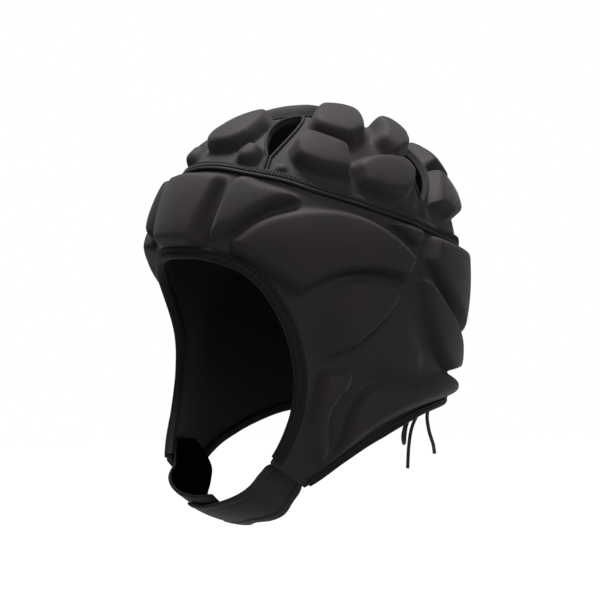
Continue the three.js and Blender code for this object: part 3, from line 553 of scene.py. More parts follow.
def side_skin():
    turn = np.linspace(-180, 180, SIDE_COLUMNS, endpoint=False)
    bottom = height(level_on(HEM_LINE, turn))
    top = height(level_on(SEAM_LINE, turn)) - CLEARANCE / 2
    share = np.linspace(0, 1, SIDE_ROWS)[:, None]
    level = level_of(mix(bottom, top, share))
    chart = np.stack(np.broadcast_arrays(turn[None, :], level), axis=-1).copy()

    cut = face_curve()
    seam_turn, _ = JAW_SEAM_END
    hole = np.vstack([[(seam_turn, BELOW_HEM)], cut, [(-seam_turn, BELOW_HEM)]])
    wide = np.concatenate([chart, chart[:, :1] + (360, 0)], axis=1)
    middle = (wide[:-1, :-1] + wide[1:, :-1] + wide[:-1, 1:] + wide[1:, 1:]) / 4
    removed = inside(middle.reshape(-1, 2), hole).reshape(middle.shape[:2])
    middle_place = side_place((middle[..., 0] + 180) % 360 - 180, middle[..., 1]) / MM
    slit_top = height(level_on(HEM_LINE, 180)) + SLIT_HEIGHT
    x, y, z = (middle_place[..., k] for k in range(3))
    slit = (y > 0) & (np.abs(x) < SLIT_WIDTH / 2) & (z < slit_top)

    # Points beside a removed cell move onto the cut
    def beside(cells):
        around = np.pad(cells, ((1, 1), (0, 0)), mode="edge")
        touched = np.zeros(chart.shape[:2], bool)
        other = np.zeros(chart.shape[:2], bool)
        for rows in (around[:-1], around[1:]):
            for cell in (rows, np.roll(rows, 1, axis=1)):
                touched |= cell
                other |= ~cell
        return touched & other

    tree = nearest_of(side_place(cut[:, 0], cut[:, 1]))
    for r, c in np.argwhere(beside(removed)):
        if 0 < r:
            _, nearest, _ = tree.find(side_place(chart[r, c, 0], chart[r, c, 1]))
            chart[r, c] = cut[nearest]
    lip = beside(slit)
    hand = np.where(chart[..., 0] < 0, -1, 1)
    side_reach = reach(height(chart[..., 1]), HALF_WIDTH, JAW_HALF_WIDTH, SIDE_ROUNDNESS) * (1 + EGG_SHARE)
    edge_turn = 180 - np.degrees(np.arcsin(SLIT_WIDTH / 2 / side_reach))
    lip &= np.abs(chart[..., 0]) < 179.6
    chart[..., 0] = np.where(lip, hand * edge_turn, chart[..., 0])

    pads = [FOREHEAD_PAD] + SIDE_PADS + [mirrored(pad) for pad in SIDE_PADS]
    outer, inner = padded_faces(chart, side_place, pads, SIDE_RELIEF, ring=True)
    uv = np.stack([np.radians(chart[..., 0]) * SIDE_GIRTH_RADIUS, height(chart[..., 1])], axis=-1) * MM
    return skin("side_skin", outer, inner, uv, ~(removed | slit), ring=True)


side = side_skin()
belongs(side, "shell_fabric", "side_shell_left", "side_shell_right", "pad_forehead",
        *[f"pad_{pad['name']}_{hand}" for pad in SIDE_PADS for hand in ("left", "right")])


# The crown: four petals that meet along lines, each with a vent in it
FRONT_VENT = {"low": 0.16, "high": 0.88, "open": 7.8}
BACK_VENT = {"low": 0.15, "high": 0.73, "open": 9.2}
CROWN_LINES = {
    "front_left": {"turn": 38, "end": (0.12, 0.2), **FRONT_VENT},
    "back_left": {"turn": 108, "end": (0.12, -32), **BACK_VENT},
    "back_right": {"turn": 252, "end": (-0.12, -32), **BACK_VENT},
    "front_right": {"turn": 322, "end": (-0.12, 0.2), **FRONT_VENT},
}
CROWN_DEGREE = math.pi / 180 * CROWN_RISE


def crown_seam(turn):
    tilt = crown_tilt(height(level_on(SEAM_LINE, turn)) + CLEARANCE / 2)
    return np.stack([tilt * np.sin(np.radians(turn)), tilt * np.cos(np.radians(turn))], axis=-1)


# Chart points beside a line between two petals, where the vent opens
def beside_line(line, share, side, extra=0.0):
    share = np.asarray(share, float)
    start = crown_seam(line["turn"])
    run = np.array(line["end"]) - start
    length = np.hypot(*run)
    opened = np.clip((share - line["low"]) / (line["high"] - line["low"]), 0, 1)
    gap = line["open"] * np.sin(math.pi * opened) ** 0.8
    away = side * (CLEARANCE / 2 + gap + extra) / CROWN_DEGREE / length
    return np.stack([start[0] + run[0] * share - run[1] * away, start[1] + run[1] * share + run[0] * away],
                    axis=-1)


SIDE_PETAL_PADS = ["top", "front", "rear", "side", "edge", "button"]
PETALS = {
    "crown_left": {"from": "front_left", "to": "back_left", "columns": 96, "pads": SIDE_PETAL_PADS, "hand": 1},
    "crown_back": {"from": "back_left", "to": "back_right", "columns": 180, "pads": ["nape_top", "nape_side"],
                   "middle": ["nape_middle", "nape_low"], "hand": 0},
    "crown_right": {"from": "back_right", "to": "front_right", "columns": 96, "pads": SIDE_PETAL_PADS,
                    "hand": -1},
    "crown_front": {"from": "front_right", "to": "front_left", "columns": 110, "pads": ["corner"],
                    "middle": ["brow"], "hand": 0},
}
PETAL_ROWS = 96


def petal_pads(petal):
    pads = []
    for pad in CROWN_PADS:
        if pad["name"] in petal["pads"]:
            pads += [pad] if petal["hand"] >= 0 else []
            pads += [mirrored(pad)] if petal["hand"] <= 0 else []
    return pads + [pad for pad in CROWN_MIDDLE_PADS if pad["name"] in petal.get("middle", [])]


# The CAD pads that a petal's skin stands for; the buttons have none
def petal_nodes(petal):
    hands = [hand for hand, sign in (("left", 1), ("right", -1)) if petal["hand"] in (0, sign)]
    sided = [pad["name"] for pad in CROWN_PADS if pad["name"] in petal["pads"]]
    pads = [f"{pad}_{hand}" for pad in sided if pad != "button" for hand in hands] + petal.get("middle", [])
    return [f"crown_pad_{pad}" for pad in pads]


def petal_skin(name, petal):
    line_from, line_to = CROWN_LINES[petal["from"]], CROWN_LINES[petal["to"]]
    span = (line_to["turn"] - line_from["turn"]) % 360
    row = np.linspace(0, 1, PETAL_ROWS)[:, None, None]
    column = np.linspace(0, 1, petal["columns"])[None, :, None]
    edge = crown_seam(line_from["turn"] + span * column[0, :, 0])[None]
    start = mix(beside_line(line_from, 0, 1), beside_line(line_to, 0, -1), column)
    a = beside_line(line_from, row[:, 0, 0], 1)[:, None]
    b = beside_line(line_to, row[:, 0, 0], -1)[:, None]
    bow = np.where((column > 0) & (column < 1), edge - start, 0)
    chart = mix(a, b, column) + (1 - row) * bow
    # Pads sink to the cloth beside the petal's own edges
    to_edge = np.minimum(*[np.linalg.norm(chart - side, axis=-1) for side in (chart[:, :1], chart[:, -1:])])
    low_edge = ease((to_edge * CROWN_DEGREE - 1) / 3)
    outer, inner = padded_faces(chart, crown_place, petal_pads(petal), CROWN_RELIEF, share=low_edge)
    keep = np.ones((PETAL_ROWS - 1, petal["columns"] - 1), bool)
    piece = skin(f"{name}_skin", outer, inner, chart * CROWN_DEGREE * MM, keep)
    belongs(piece, "pad_fabric", name, *petal_nodes(petal))
    return piece


petals = [petal_skin(name, petal) for name, petal in PETALS.items()]


# Tapes and bindings

# Frames along chart points of the side or the crown: places, the way across and the way out
def frames_on(chart, place, closed=False):
    at = place(chart[:, 0], chart[:, 1])
    out = normalized(place(chart[:, 0], chart[:, 1], np.full(len(chart), 1.0)) - at)
    side = normalized(np.cross(out, tangents(at, closed)))
    return at, side, out


# A section in mm, across and outwards, drawn along frames
def sweep(name, frames, section, closed=False):
    at, side, out = frames
    section = np.asarray(section, float) * MM
    rings = at[:, None] + section[None, :, :1] * side[:, None] + section[None, :, 1:] * out[:, None]
    piece = loft(name, rings, closed)
    smoothed_corners(piece, 40)
    return piece


# A section with its corners cut twice
def rounded(section):
    section = np.asarray(section, float)
    for _ in range(2):
        after = np.roll(section, -1, axis=0)
        pairs = [section * 0.75 + after * 0.25, section * 0.25 + after * 0.75]
        section = np.stack(pairs, axis=1).reshape(-1, 2)
    return section


# Thread: short rods with round ends, laid along a line. Each ring of a rod is a share of its length
# and of its thickness
THREAD_RINGS = ((0, 0.35), (0.12, 0.85), (0.5, 1), (0.88, 0.85), (1, 0.35))
THREAD_SIDES, THREAD_SWELL = 6, 0.3


def stitches(name, frames, offset, lift, length, gap, thickness, lean=0.0, closed=False):
    at, side, out = frames
    path = at + side * offset * MM + out * lift * MM
    if closed:
        path, side, out = (np.vstack([row, row[:1]]) for row in (path, side, out))
    run = length_along(path) / MM
    count = int(run[-1] // (length + gap))
    at_run = lambda s, row: np.array([np.interp(s, run, row[:, k]) for k in range(3)])
    angles = np.linspace(0, 2 * math.pi, THREAD_SIDES, endpoint=False)
    last = THREAD_SIDES * (len(THREAD_RINGS) - 1)
    points, faces = [], []
    for start in np.arange(count) * run[-1] / count:
        base = len(points)
        for share, fat in THREAD_RINGS:
            s = start + share * length
            across, up = normalized(at_run(s, side)), normalized(at_run(s, out))
            rise = math.sin(math.pi * share) * thickness * THREAD_SWELL
            centre = at_run(s, path) + across * lean * (share - 0.5) * MM + up * rise * MM
            radius = thickness / 2 * fat * MM
            points += [centre + (across * math.cos(angle) + up * math.sin(angle)) * radius for angle in angles]
        for a in range(base, base + last, THREAD_SIDES):
            faces += [(a + k, a + k + THREAD_SIDES, a + (k + 1) % THREAD_SIDES + THREAD_SIDES,
                       a + (k + 1) % THREAD_SIDES) for k in range(THREAD_SIDES)]
        faces += [tuple(range(base, base + THREAD_SIDES)),
                  tuple(range(base + last + THREAD_SIDES - 1, base + last - 1, -1))]
    piece = mesh_piece(name, points, faces, np.zeros((len(points), 2)))
    belongs(piece, "seam_tape")
    return piece


FACE_BINDING_WIDTH, HEM_BINDING_WIDTH = 6.5, 4
HEM_BINDING_ENDS, MIDDLE_SEAM_ENDS = (62.5, 177.6), (-1.5, -33)


# A tape drawn along frames, with the threads that hold it
def sewn_tape(name, frames, section, slot, nodes, threads, closed=False):
    piece = sweep(name, frames, rounded(section), closed)
    belongs(piece, slot, *nodes)
    return piece, [stitches(thread, frames, *sizes, closed=closed) for thread, *sizes in threads]


# The folded tape round the face opening: a rolled edge, a stitched groove and a flat outer hem
def face_binding():
    left = smooth_run(FACE_LINE, 150)
    path = np.vstack([left[:-3][::-1], (left * (-1, 1))[1:-3]])
    at, side, out = frames_on(path, side_place)
    width = FACE_BINDING_WIDTH
    section = [
        (width, 0.3), (width - 0.2, 1.3), (width - 1.6, 1.75), (width - 2.6, 1.35), (width - 3.1, 0.95),
        (width - 3.6, 1.5), (width - 4.8, 2.0), (0.6, 1.9), (-0.9, 1.3), (-1.5, 0.0), (-1.5, -WALL),
        (-0.9, -WALL - 1.4), (0.8, -WALL - 1.8), (width, -WALL - 1.6), (width, -WALL - 0.5),
        (-0.1, -WALL - 0.3), (-0.2, -WALL / 2), (-0.1, 0.25),
    ]
    return sewn_tape("face_binding_tape", (at, -side, out), section, "binding_tape", ["face_binding"],
                     [("face_binding_thread", width - 3.1, 1.15, 2.4, 0.9, 0.5)])


# The same on the hem, narrower and with one flat
def hem_binding(name, hand):
    turn = hand * np.linspace(*HEM_BINDING_ENDS, 130)
    chart = np.stack([turn, level_on(HEM_LINE, turn)], axis=-1)
    at, side, out = frames_on(chart, side_place)
    width = HEM_BINDING_WIDTH
    section = [
        (width, 0.25), (width - 0.2, 1.1), (width - 1.2, 1.45), (0.6, 1.6), (-0.8, 1.1), (-1.4, 0.0),
        (-1.4, -WALL), (-0.8, -WALL - 1.2), (0.6, -WALL - 1.5), (width, -WALL - 1.4), (width, -WALL - 0.5),
        (-0.1, -WALL - 0.3), (-0.2, -WALL / 2), (-0.1, 0.2),
    ]
    return sewn_tape(f"{name}_tape", (at, side * hand, out), section, "binding_tape", [name],
                     [(f"{name}_thread", width - 0.9, 1.42, 2.2, 0.9, 0.45)])


# The short seam over the apex, between the two side petals
def crown_middle_seam():
    along = np.linspace(*MIDDLE_SEAM_ENDS, 60)
    frames = frames_on(np.stack([np.zeros_like(along), along], axis=-1), crown_place)
    section = [(1.9, 0.3), (1.7, 1.2), (0.6, 1.7), (-0.6, 1.7), (-1.7, 1.2), (-1.9, 0.3)]
    return sewn_tape("crown_middle_seam", frames, section, "binding_tape", [],
                     [("crown_middle_thread", 0, 1.65, 1.8, 0.6, 0.45)])


# A flat band of flatlock stitches over the joint of crown and side, with a rolled lip on its lower edge
def seam_tape():
    turn = np.linspace(0, 360, 420, endpoint=False)
    frames = frames_on(np.stack([turn, level_on(SEAM_LINE, turn)], axis=-1), side_place, closed=True)
    section = [
        (3.0, 0.3), (2.9, 1.4), (2.2, 2.0), (-0.6, 2.1), (-1.1, 1.5), (-1.3, 1.15), (-1.7, 1.9), (-2.6, 2.35),
        (-3.6, 2.0), (-4.0, 1.1), (-3.7, 0.35), (0, 0.2),
    ]
    return sewn_tape("seam_tape_band", frames, section, "seam_tape", ["seam_tape"],
                     [("seam_tape_thread_up", 1.5, 2.1, 1.9, 0.35, 0.55, 1.8),
                      ("seam_tape_thread_down", 0.1, 2.1, 1.9, 0.35, 0.55, -1.8)], closed=True)


# A bead of binding along each petal's edge, from the seam tape to the inner end of its line
def vent_bindings():
    section = [(2.1, 0.25), (2.0, 1.0), (1.4, 1.35), (0.6, 1.35), (0.0, 0.8), (-0.1, 0.1), (-0.05, -0.3),
               (0.3, -0.3)]
    made = []
    for line_name, line in CROWN_LINES.items():
        words = ("rear", "fore") if "left" in line_name else ("fore", "rear")
        share = np.linspace(0.02, 0.985 if "front" in line_name else 0.97, 90)
        for hand, word in zip((1, -1), words):
            at, side, out = frames_on(beside_line(line, share, hand), crown_place)
            inner = beside_line(line, share, hand, 1.0)
            towards = crown_place(inner[:, 0], inner[:, 1]) - at
            side = side * np.sign((side * towards).sum(axis=1))[:, None]
            name = f"vent_{line_name}_{word}"
            nodes = [f"vent_{line_name}"] if hand == 1 else []
            made.append(sewn_tape(f"{name}_binding", (at, side, out), section, "binding_tape", nodes,
                                  [(f"{name}_thread", 1.45, 1.25, 1.8, 0.8, 0.35)]))
    return made


sewn = [face_binding(), hem_binding("hem_binding_left", 1), hem_binding("hem_binding_right", -1),
        crown_middle_seam()]
flatlock_band, seam_threads = seam_tape()
sewn += vent_bindings()
tapes = [tape for tape, _ in sewn]
threads = seam_threads + [thread for _, pair in sewn for thread in pair]


# The chin strap

TAB_THICKNESS, PATCH_THICKNESS = 2, 1.2
# Stations of a tab from the jaw to its free end: turn and level of its face edge, the same of its hem
# edge, and how far it has come out from behind the shell, 0 to 1
TAB_STATIONS = [
    (60, -0.725, 65.5, -0.765, 0), (54.5, -0.755, 62, -0.805, 0), (47, -0.77, 59.5, -0.88, 0),
    (43.5, -0.8, 56, -0.918, 0.15), (38, -0.835, 50, -0.943, 0.7), (30, -0.867, 39, -0.962, 1),
    (20, -0.89, 25, -0.97, 1), (10, -0.902, 12, -0.98, 1), (0, -0.908, 0, -0.983, 1),
    (-8, -0.904, -9, -0.982, 1), (-15, -0.9, -15, -0.978, 1),
]
BROAD_TAB_STATIONS = [
    (54, -0.67, 67, -0.675, 0), (51, -0.73, 72.5, -0.745, 0), (47, -0.775, 73.5, -0.805, 0.05),
    (43.5, -0.79, 68, -0.865, 0.3), (38, -0.813, 58, -0.91, 0.7), (30, -0.843, 44, -0.95, 0.95),
    (20, -0.866, 27, -0.968, 1), (10, -0.878, 12, -0.98, 1), (0, -0.884, 0, -0.983, 1),
    (-8, -0.88, -9, -0.982, 1), (-15, -0.876, -15, -0.978, 1),
]
TABS = {
    "chin_tab_left": {"hand": 1, "root": -WALL - 4 * CLEARANCE, "overlap": TAB_THICKNESS + 1.5 * CLEARANCE,
                      "stations": TAB_STATIONS},
    "chin_tab_right": {"hand": -1, "root": -WALL - 2 * CLEARANCE, "overlap": 0, "stations": BROAD_TAB_STATIONS},
}
TAB_STEPS, TAB_ROWS, PATCH_END, PATCH_COLUMNS = 400, 110, 285, 44
SEAM_ROWS = slice(36, 106)
# The two stitched grooves of a tab lie at a share of its width from either edge
GROOVE, GROOVE_WIDTH, GROOVE_DEPTH, EDGE_BAND = 0.18, 0.014, 0.6, 0.4


# Rows of a tab: turn and level of its face edge and its hem edge, and how far out its outer face lies
def tab_rows(tab, last=TAB_STEPS - 1):
    scale = np.array((1, 100, 1, 100, 8))
    run = smooth_run(np.array(tab["stations"], float) * scale, TAB_STEPS) / scale
    pick = np.linspace(0, last, TAB_ROWS)
    face, face_level, hem, hem_level, out = (np.interp(pick, np.arange(TAB_STEPS), run[:, k])[:, None]
                                             for k in range(5))
    hand, lift = tab["hand"], mix(tab["root"], tab["overlap"], ease(out))
    return hand * face, face_level, hand * hem, hem_level, lift


def chin_tab(name, tab):
    face_turn, face_level, hem_turn, hem_level, lift = tab_rows(tab)
    across = np.concatenate([[0, 0.012, 0.035, 0.07, 0.12, 0.16, 0.18, 0.2, 0.23], np.linspace(0.27, 0.73, 12),
                             [0.77, 0.8, 0.82, 0.84, 0.88, 0.93, 0.965, 0.988, 1]])
    dip = lambda place: np.exp(-((across - place) / GROOVE_WIDTH) ** 2)
    groove = GROOVE_DEPTH * (dip(GROOVE) + dip(1 - GROOVE))
    band = EDGE_BAND * ((across < GROOVE) | (across > 1 - GROOVE))
    edge = np.minimum(across, 1 - across)
    thick = TAB_THICKNESS / 2 * (1 - (1 - np.clip(edge / 0.05, 0, 1)) ** 2) ** 0.5
    ends = np.minimum(np.arange(TAB_ROWS), TAB_ROWS - 1 - np.arange(TAB_ROWS)) / 3
    thick = thick[None, :] * (1 - (1 - np.clip(ends, 0.12, 1)) ** 2)[:, None] ** 0.5
    turn = mix(face_turn, hem_turn, across[None, :])
    level = mix(face_level, hem_level, across[None, :])
    middle = lift - TAB_THICKNESS / 2
    top = side_place(turn, level, middle + thick + (band - groove) * (thick > 0.6))
    under = side_place(turn, level, middle - thick)
    piece = loft(f"{name}_strap", np.concatenate([top, under[:, ::-1]], axis=1))
    smoothed_corners(piece, 60)
    belongs(piece, "shell_fabric", name)
    seam = np.concatenate([mix(face_turn, hem_turn, GROOVE), mix(face_level, hem_level, GROOVE)], axis=1)
    at, side, out = frames_on(seam[SEAM_ROWS], side_place)
    lifted = (at + out * lift[SEAM_ROWS] * MM, side, out)
    thread = stitches(f"{name}_thread", lifted, 0, -0.15, 2.2, 0.9, 0.45)
    return piece, thread


tabs = []
for tab_name, tab in TABS.items():
    strap, thread = chin_tab(tab_name, tab)
    tabs.append(strap)
    threads.append(thread)


# The hook-and-loop patch inside the right tab
def hook_patch():
    face_turn, face_level, hem_turn, hem_level, lift = tab_rows(TABS["chin_tab_right"], PATCH_END)
    across = np.linspace(0.01, 0.99, PATCH_COLUMNS)[None, :]
    turn = mix(face_turn, hem_turn, across)
    level = mix(face_level, hem_level, across)
    lift = lift - TAB_THICKNESS - CLEARANCE
    random = np.random.default_rng(7)
    pile = random.uniform(-0.18, 0.12, turn.shape)
    pile[0] = pile[-1] = pile[:, 0] = pile[:, -1] = 0
    top = side_place(turn, level, lift)
    under = side_place(turn, level, lift - PATCH_THICKNESS + pile)
    keep = np.ones((TAB_ROWS - 1, PATCH_COLUMNS - 1), bool)
    uv = np.stack([turn, height(level)], axis=-1) * (1.8 * MM, MM)
    piece = skin("hook_patch_pile", under, top, uv, keep)
    belongs(piece, "hook_loop", "hook_patch")
    return piece


patch = hook_patch()


# The nape lacing

EYELET_SPACING, EYELET_PITCH, EYELET_PAIRS = 9, 15, 4
EYELET_RADIUS, EYELET_ROLL, EYELET_FLATTENING = 3.5, 1.05, 0.55
LACE_DIAMETER, KNOT_WIDTH = 3, 12
nape_z = float(height(level_on(HEM_LINE, 180)))
eyelet_z = [nape_z + EYELET_SPACING + i * EYELET_PITCH for i in range(EYELET_PAIRS)]


# A place beside the nape slit, x and z in mm
def nape_place(x, z, lift):
    side = float(reach(z, HALF_WIDTH, JAW_HALF_WIDTH, SIDE_ROUNDNESS)) * (1 + EGG_SHARE)
    turn = 180 - math.degrees(math.asin(x / side))
    return (surface(turn, z) + outward(turn, z) * lift) * MM


# The lace behind, through and over each pair of eyelets, from side to side on its way up
def lace_cross():
    outside, within = 0.8 * LACE_DIAMETER, -WALL - 0.8 * LACE_DIAMETER
    points = []
    for i, z in enumerate(eyelet_z):
        first = (-1 if i % 2 else 1) * EYELET_SPACING
        points.append(nape_place(first, z - (LACE_DIAMETER / 2 if i else 0), within))
        points.append(nape_place(first, z, -WALL / 2))
        points.append(nape_place(first * 0.8, z, outside))
        points.append(nape_place(-first * 0.8, z, outside))
        points.append(nape_place(-first, z, -WALL / 2))
        points.append(nape_place(-first, z + (LACE_DIAMETER / 2 if i < EYELET_PAIRS - 1 else 0), within))
    piece = lace("lace_cross_braid", smooth_run(points, 420), LACE_DIAMETER * MM * 0.96)
    belongs(piece, "lace", "lace_cross")
    return piece


# A tied knot: one strand that turns three times through itself
def lace_knot():
    half = KNOT_WIDTH / 2
    z = eyelet_z[0] - LACE_DIAMETER / 2 - 0.7 * half - CLEARANCE
    centre = nape_place(0, z, 0.7 * half + PAD_SEAT)
    t = np.linspace(0, 2 * math.pi, 160, endpoint=False)
    wide = 2.1 + np.cos(3 * t)
    curve = [wide * np.cos(2 * t) * 1.5, np.sin(3 * t) * 2.4, wide * np.sin(2 * t) * 0.98]
    curve = np.stack(curve, axis=-1) * MM
    piece = lace("lace_knot_braid", centre + curve, 2.5 * MM, closed=True)
    belongs(piece, "lace", "lace_knot")
    return piece


# Pressed eyelets: a ring is added, flattened and set into the cloth at each hole
def eyelets():
    rings = []
    for z in eyelet_z:
        for x in (-EYELET_SPACING, EYELET_SPACING):
            at = nape_place(x, z, 0.35)
            out = normalized(nape_place(x, z, 1) - nape_place(x, z, 0))
            turn = Vector(out).to_track_quat("Z", "Y").to_euler()
            bpy.ops.object.select_all(action="DESELECT")
            bpy.ops.mesh.primitive_torus_add(location=tuple(at), rotation=turn, major_segments=36,
                                             minor_segments=12, major_radius=EYELET_RADIUS * MM,
                                             minor_radius=EYELET_ROLL * MM)
            ring = bpy.context.object
            ring.scale = (1, 1, EYELET_FLATTENING)
            bpy.ops.object.transform_apply(location=True, rotation=True, scale=True)
            bpy.ops.object.shade_smooth()
            rings.append(ring)
    bpy.ops.object.select_all(action="DESELECT")
    for ring in rings:
        ring.select_set(True)
    bpy.context.view_layer.objects.active = rings[0]
    bpy.ops.object.join()
    piece = bpy.context.object
    piece.name = "nape_eyelets"
    bpy.ops.object.select_all(action="DESELECT")
    belongs(piece, "binding_tape")
    return piece


laces += [lace_cross(), lace_knot()]
nape_eyelets = eyelets()


# Finishes

KNIT_DARK, KNIT_LIGHT, KNIT_RIB = (0.0064, 0.0052, 0.0061), (0.0102, 0.0083, 0.0097), 0.0009
# How much painted shade darkens the lining, the inner face of a skin, where the inside of the cap lies in shade
LINING_PAINTED_SHADE = 0.6
# The width of one band of a wave texture at scale 1, in metres
WAVE_BAND = 0.314


# A node with its inputs set to values or linked to the outputs of others
def node(tree, kind, inputs, **settings):
    made = tree.nodes.new(f"ShaderNode{kind}")
    for setting, value in settings.items():
        setattr(made, setting, value)
    for socket, value in inputs.items():
        if isinstance(value, bpy.types.NodeSocket):
            tree.links.new(value, made.inputs[socket])
        else:
            made.inputs[socket].default_value = value
    return made.outputs


# Where a pattern lies: in the object, or along the cloth
def places(tree):
    return node(tree, "TexCoord", {})["Object"], node(tree, "UVMap", {})["UV"]


def wave(tree, source, period, direction, distortion, turn=0.0):
    place = node(tree, "Mapping", {"Vector": source, "Rotation": (0, 0, math.radians(turn))})["Vector"]
    inputs = {"Vector": place, "Scale": WAVE_BAND / period, "Distortion": distortion, "Detail": 0}
    waves = node(tree, "TexWave", inputs, wave_type="BANDS", bands_direction=direction, wave_profile="SIN")
    return waves["Fac"]


def noise(tree, source, size, detail):
    return node(tree, "TexNoise", {"Vector": source, "Scale": 1 / size, "Detail": detail})["Fac"]


def maths(tree, operation, first, second):
    return node(tree, "Math", {0: first, 1: second}, operation=operation)[0]


# The base and a share of a pattern; and a sum of patterns, each with its share
def varied(tree, base, source, share):
    return maths(tree, "ADD", base, maths(tree, "MULTIPLY", source, share))


def weighted(tree, *parts):
    part = maths(tree, "MULTIPLY", *parts[0])
    return maths(tree, "ADD", part, weighted(tree, *parts[1:])) if parts[1:] else part


def ramp(tree, source, *stops):
    colours = node(tree, "ValToRGB", {"Fac": source})["Color"]
    for element, (place, colour) in zip(colours.node.color_ramp.elements, stops):
        element.position = place
        element.color = (*colour, 1)
    return colours


def relief_of(tree, heights, distance, strength):
    return node(tree, "Bump", {"Height": heights, "Distance": distance, "Strength": strength})["Normal"]


# A material and its empty tree, and the shader that closes a tree
def finish(name):
    material = bpy.data.materials.new(name)
    material.use_nodes = True
    material.node_tree.nodes.clear()
    return material, material.node_tree


def shade(tree, colour, rough, inputs):
    shader = node(tree, "BsdfPrincipled", {"Base Color": colour, "Roughness": rough, **inputs})["BSDF"]
    node(tree, "OutputMaterial", {"Surface": shader})


# Knitted cloth: fine ribs one way, loops the other way, a slow drift in tone, and painted shade on the lining,
# the inner face
def knit(name, roughness, sheen):
    material, tree = finish(name)
    place, uv = places(tree)
    ribs = wave(tree, uv, KNIT_RIB, "X", 0.6)
    loops = wave(tree, uv, KNIT_RIB * 1.3, "Y", 0.9)
    weave = maths(tree, "MULTIPLY", ribs, loops)
    grain = noise(tree, place, 0.0011, 2)
    drift = noise(tree, place, 0.035, 3)
    tone = weighted(tree, (drift, 0.55), (weave, 0.3), (grain, 0.15))
    cloth = ramp(tree, tone, (0.25, KNIT_DARK), (0.75, KNIT_LIGHT))
    # Painted shade: the lining, the inner face, is darkened by a share of its colour
    lining = node(tree, "Attribute", {}, attribute_name="lining")["Fac"]
    painted_shade = maths(tree, "SUBTRACT", 1, maths(tree, "MULTIPLY", lining, LINING_PAINTED_SHADE))
    colour = node(tree, "VectorMath", {0: cloth, "Scale": painted_shade}, operation="SCALE")["Vector"]
    shade(tree, colour, varied(tree, roughness - 0.06, drift, 0.12), {
        "Normal": relief_of(tree, varied(tree, weave, grain, 0.5), 0.00012, 0.6), "Specular IOR Level": 0.05,
        "Sheen Weight": sheen, "Sheen Roughness": 0.45, "Sheen Tint": (0.75, 0.76, 0.82, 1)})
    return material


# Woven tape: ribs across its run and a slight slant between them
def woven_tape(name, dark, light, rib, sheen):
    material, tree = finish(name)
    place, uv = places(tree)
    ribs = wave(tree, uv, rib, "X", 0.3)
    slant = wave(tree, uv, rib * 1.8, "DIAGONAL", 0.2)
    grain = noise(tree, place, 0.0009, 2)
    weave = weighted(tree, (ribs, 0.6), (slant, 0.4))
    colour = ramp(tree, weighted(tree, (weave, 0.6), (grain, 0.4)), (0.2, dark), (0.8, light))
    shade(tree, colour, varied(tree, 0.6, grain, 0.15), {
        "Normal": relief_of(tree, weave, 0.00018, 0.7), "Specular IOR Level": 0.06,
        "Sheen Weight": sheen, "Sheen Roughness": 0.5})
    return material


# Hook-and-loop pile: a coarse dull grain
def pile_cloth(name, dark, light):
    material, tree = finish(name)
    grain = noise(tree, places(tree)[0], 0.0007, 4)
    shade(tree, ramp(tree, grain, (0.3, dark), (0.75, light)), varied(tree, 0.85, grain, 0.12), {
        "Normal": relief_of(tree, grain, 0.0006, 0.9), "Specular IOR Level": 0})
    return material


# Braided strands that cross, with a little fuzz
def braid(name, dark, light):
    material, tree = finish(name)
    place, uv = places(tree)
    strands = maths(tree, "MULTIPLY", *[wave(tree, uv, 0.0011, "X", 0.1, turn) for turn in (40, -40)])
    fuzz = noise(tree, place, 0.0006, 3)
    colour = ramp(tree, weighted(tree, (strands, 0.7), (fuzz, 0.3)), (0.2, dark), (0.8, light))
    shade(tree, colour, varied(tree, 0.65, fuzz, 0.2), {
        "Normal": relief_of(tree, strands, 0.0003, 0.8), "Specular IOR Level": 0.15, "Sheen Weight": 0.03})
    return material


# Black enamel on metal, slightly worn
def enamel(name, dark, light):
    material, tree = finish(name)
    wear = noise(tree, places(tree)[0], 0.002, 4)
    shade(tree, ramp(tree, wear, (0.4, dark), (0.8, light)), varied(tree, 0.32, wear, 0.2), {
        "Normal": relief_of(tree, wear, 0.00005, 0.3), "Metallic": 0.6})
    return material


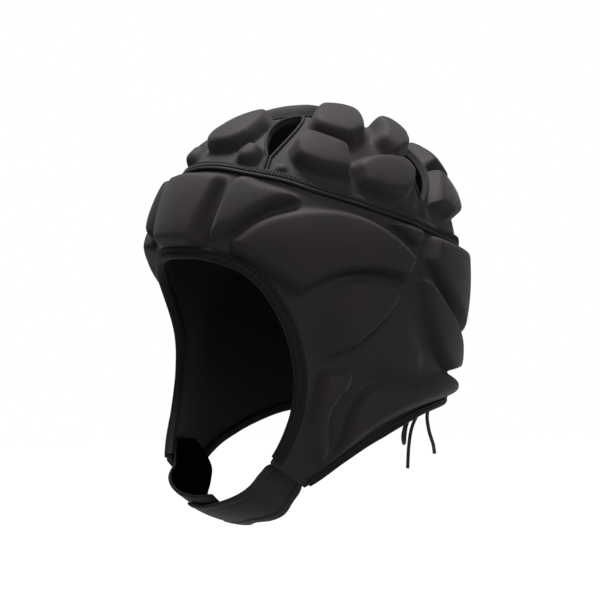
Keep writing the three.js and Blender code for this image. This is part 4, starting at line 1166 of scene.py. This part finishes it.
shell_knit = knit("shell_knit", 0.68, 0.035)
crown_knit = knit("crown_knit", 0.68, 0.035)
strap_knit = knit("strap_knit", 0.7, 0.02)
# The edge tape is black, and its colour is set darker than the knit as painted shade on the bindings
edge_tape_painted_shade = woven_tape("edge_tape_painted_shade", (0.0008, 0.0007, 0.0009), (0.0029, 0.0026, 0.0031), 0.0008, 0.002)
flatlock_tape = woven_tape("flatlock_tape", (0.0028, 0.0027, 0.0034), (0.0085, 0.0081, 0.01), 0.0011, 0.005)
seam_thread = braid("seam_thread", (0.004, 0.0038, 0.0044), (0.012, 0.0112, 0.013))
lace_braid = braid("lace_braid", (0.006, 0.006, 0.007), (0.022, 0.0215, 0.025))
hook_pile = pile_cloth("hook_pile", (0.0003, 0.0003, 0.0004), (0.0006, 0.0005, 0.0006))
black_enamel = enamel("black_enamel", (0.012, 0.012, 0.013), (0.03, 0.03, 0.032))


def dress(material, *pieces):
    for piece in pieces:
        piece.data.materials.clear()
        piece.data.materials.append(material)


left_tab, right_tab = tabs
dress(shell_knit, side)
dress(crown_knit, *petals)
dress(strap_knit, left_tab)
# The tapes and the right chin tab take the edge tape, with its painted shade
dress(edge_tape_painted_shade, right_tab, *tapes)
dress(flatlock_tape, flatlock_band)
dress(seam_thread, *threads)
dress(lace_braid, *laces)
dress(hook_pile, patch)
dress(black_enamel, nape_eyelets)


# A white floor, a white room and large soft lights

ROOM_LIGHT = 0.47


def white_floor():
    bpy.ops.object.select_all(action="DESELECT")
    bpy.ops.mesh.primitive_plane_add(size=24, location=(0, 0, -0.4))
    floor = bpy.context.object
    floor.name = "floor"
    bpy.ops.object.transform_apply(location=True, rotation=True, scale=True)
    material, tree = finish("floor_white")
    shade(tree, (0.1, 0.1, 0.1, 1), 0.9, {"Emission Color": (1, 1, 1, 1), "Emission Strength": 0.95})
    dress(material, floor)


def soft_light(name, place, target, size, power):
    data = bpy.data.lights.new(name, "AREA")
    data.shape, data.size, data.energy = "DISK", size, power
    light = bpy.data.objects.new(name, data)
    bpy.context.scene.collection.objects.link(light)
    light.location = place
    light.rotation_mode = "QUATERNION"
    light.rotation_quaternion = (Vector(place) - Vector(target)).to_track_quat("Z", "Y")


# The room is brighter to the camera than to the cap, which keeps the background white
def studio():
    white_floor()
    world = bpy.data.worlds.new("studio_white")
    world.use_nodes = True
    tree = world.node_tree
    seen = node(tree, "LightPath", {})["Is Camera Ray"]
    background = tree.nodes["Background"]
    background.inputs["Color"].default_value = (1, 1, 1, 1)
    tree.links.new(varied(tree, ROOM_LIGHT, seen, 1 - ROOM_LIGHT), background.inputs["Strength"])
    bpy.context.scene.world = world
    soft_light("key_above", (-0.35, -0.15, 2.5), (0, 0, 0.02), 1.2, 340)
    soft_light("side_high", (2.1, -0.5, 1.5), (0, 0, 0), 0.8, 85)
    bpy.context.scene.view_settings.view_transform = "Standard"


studio()
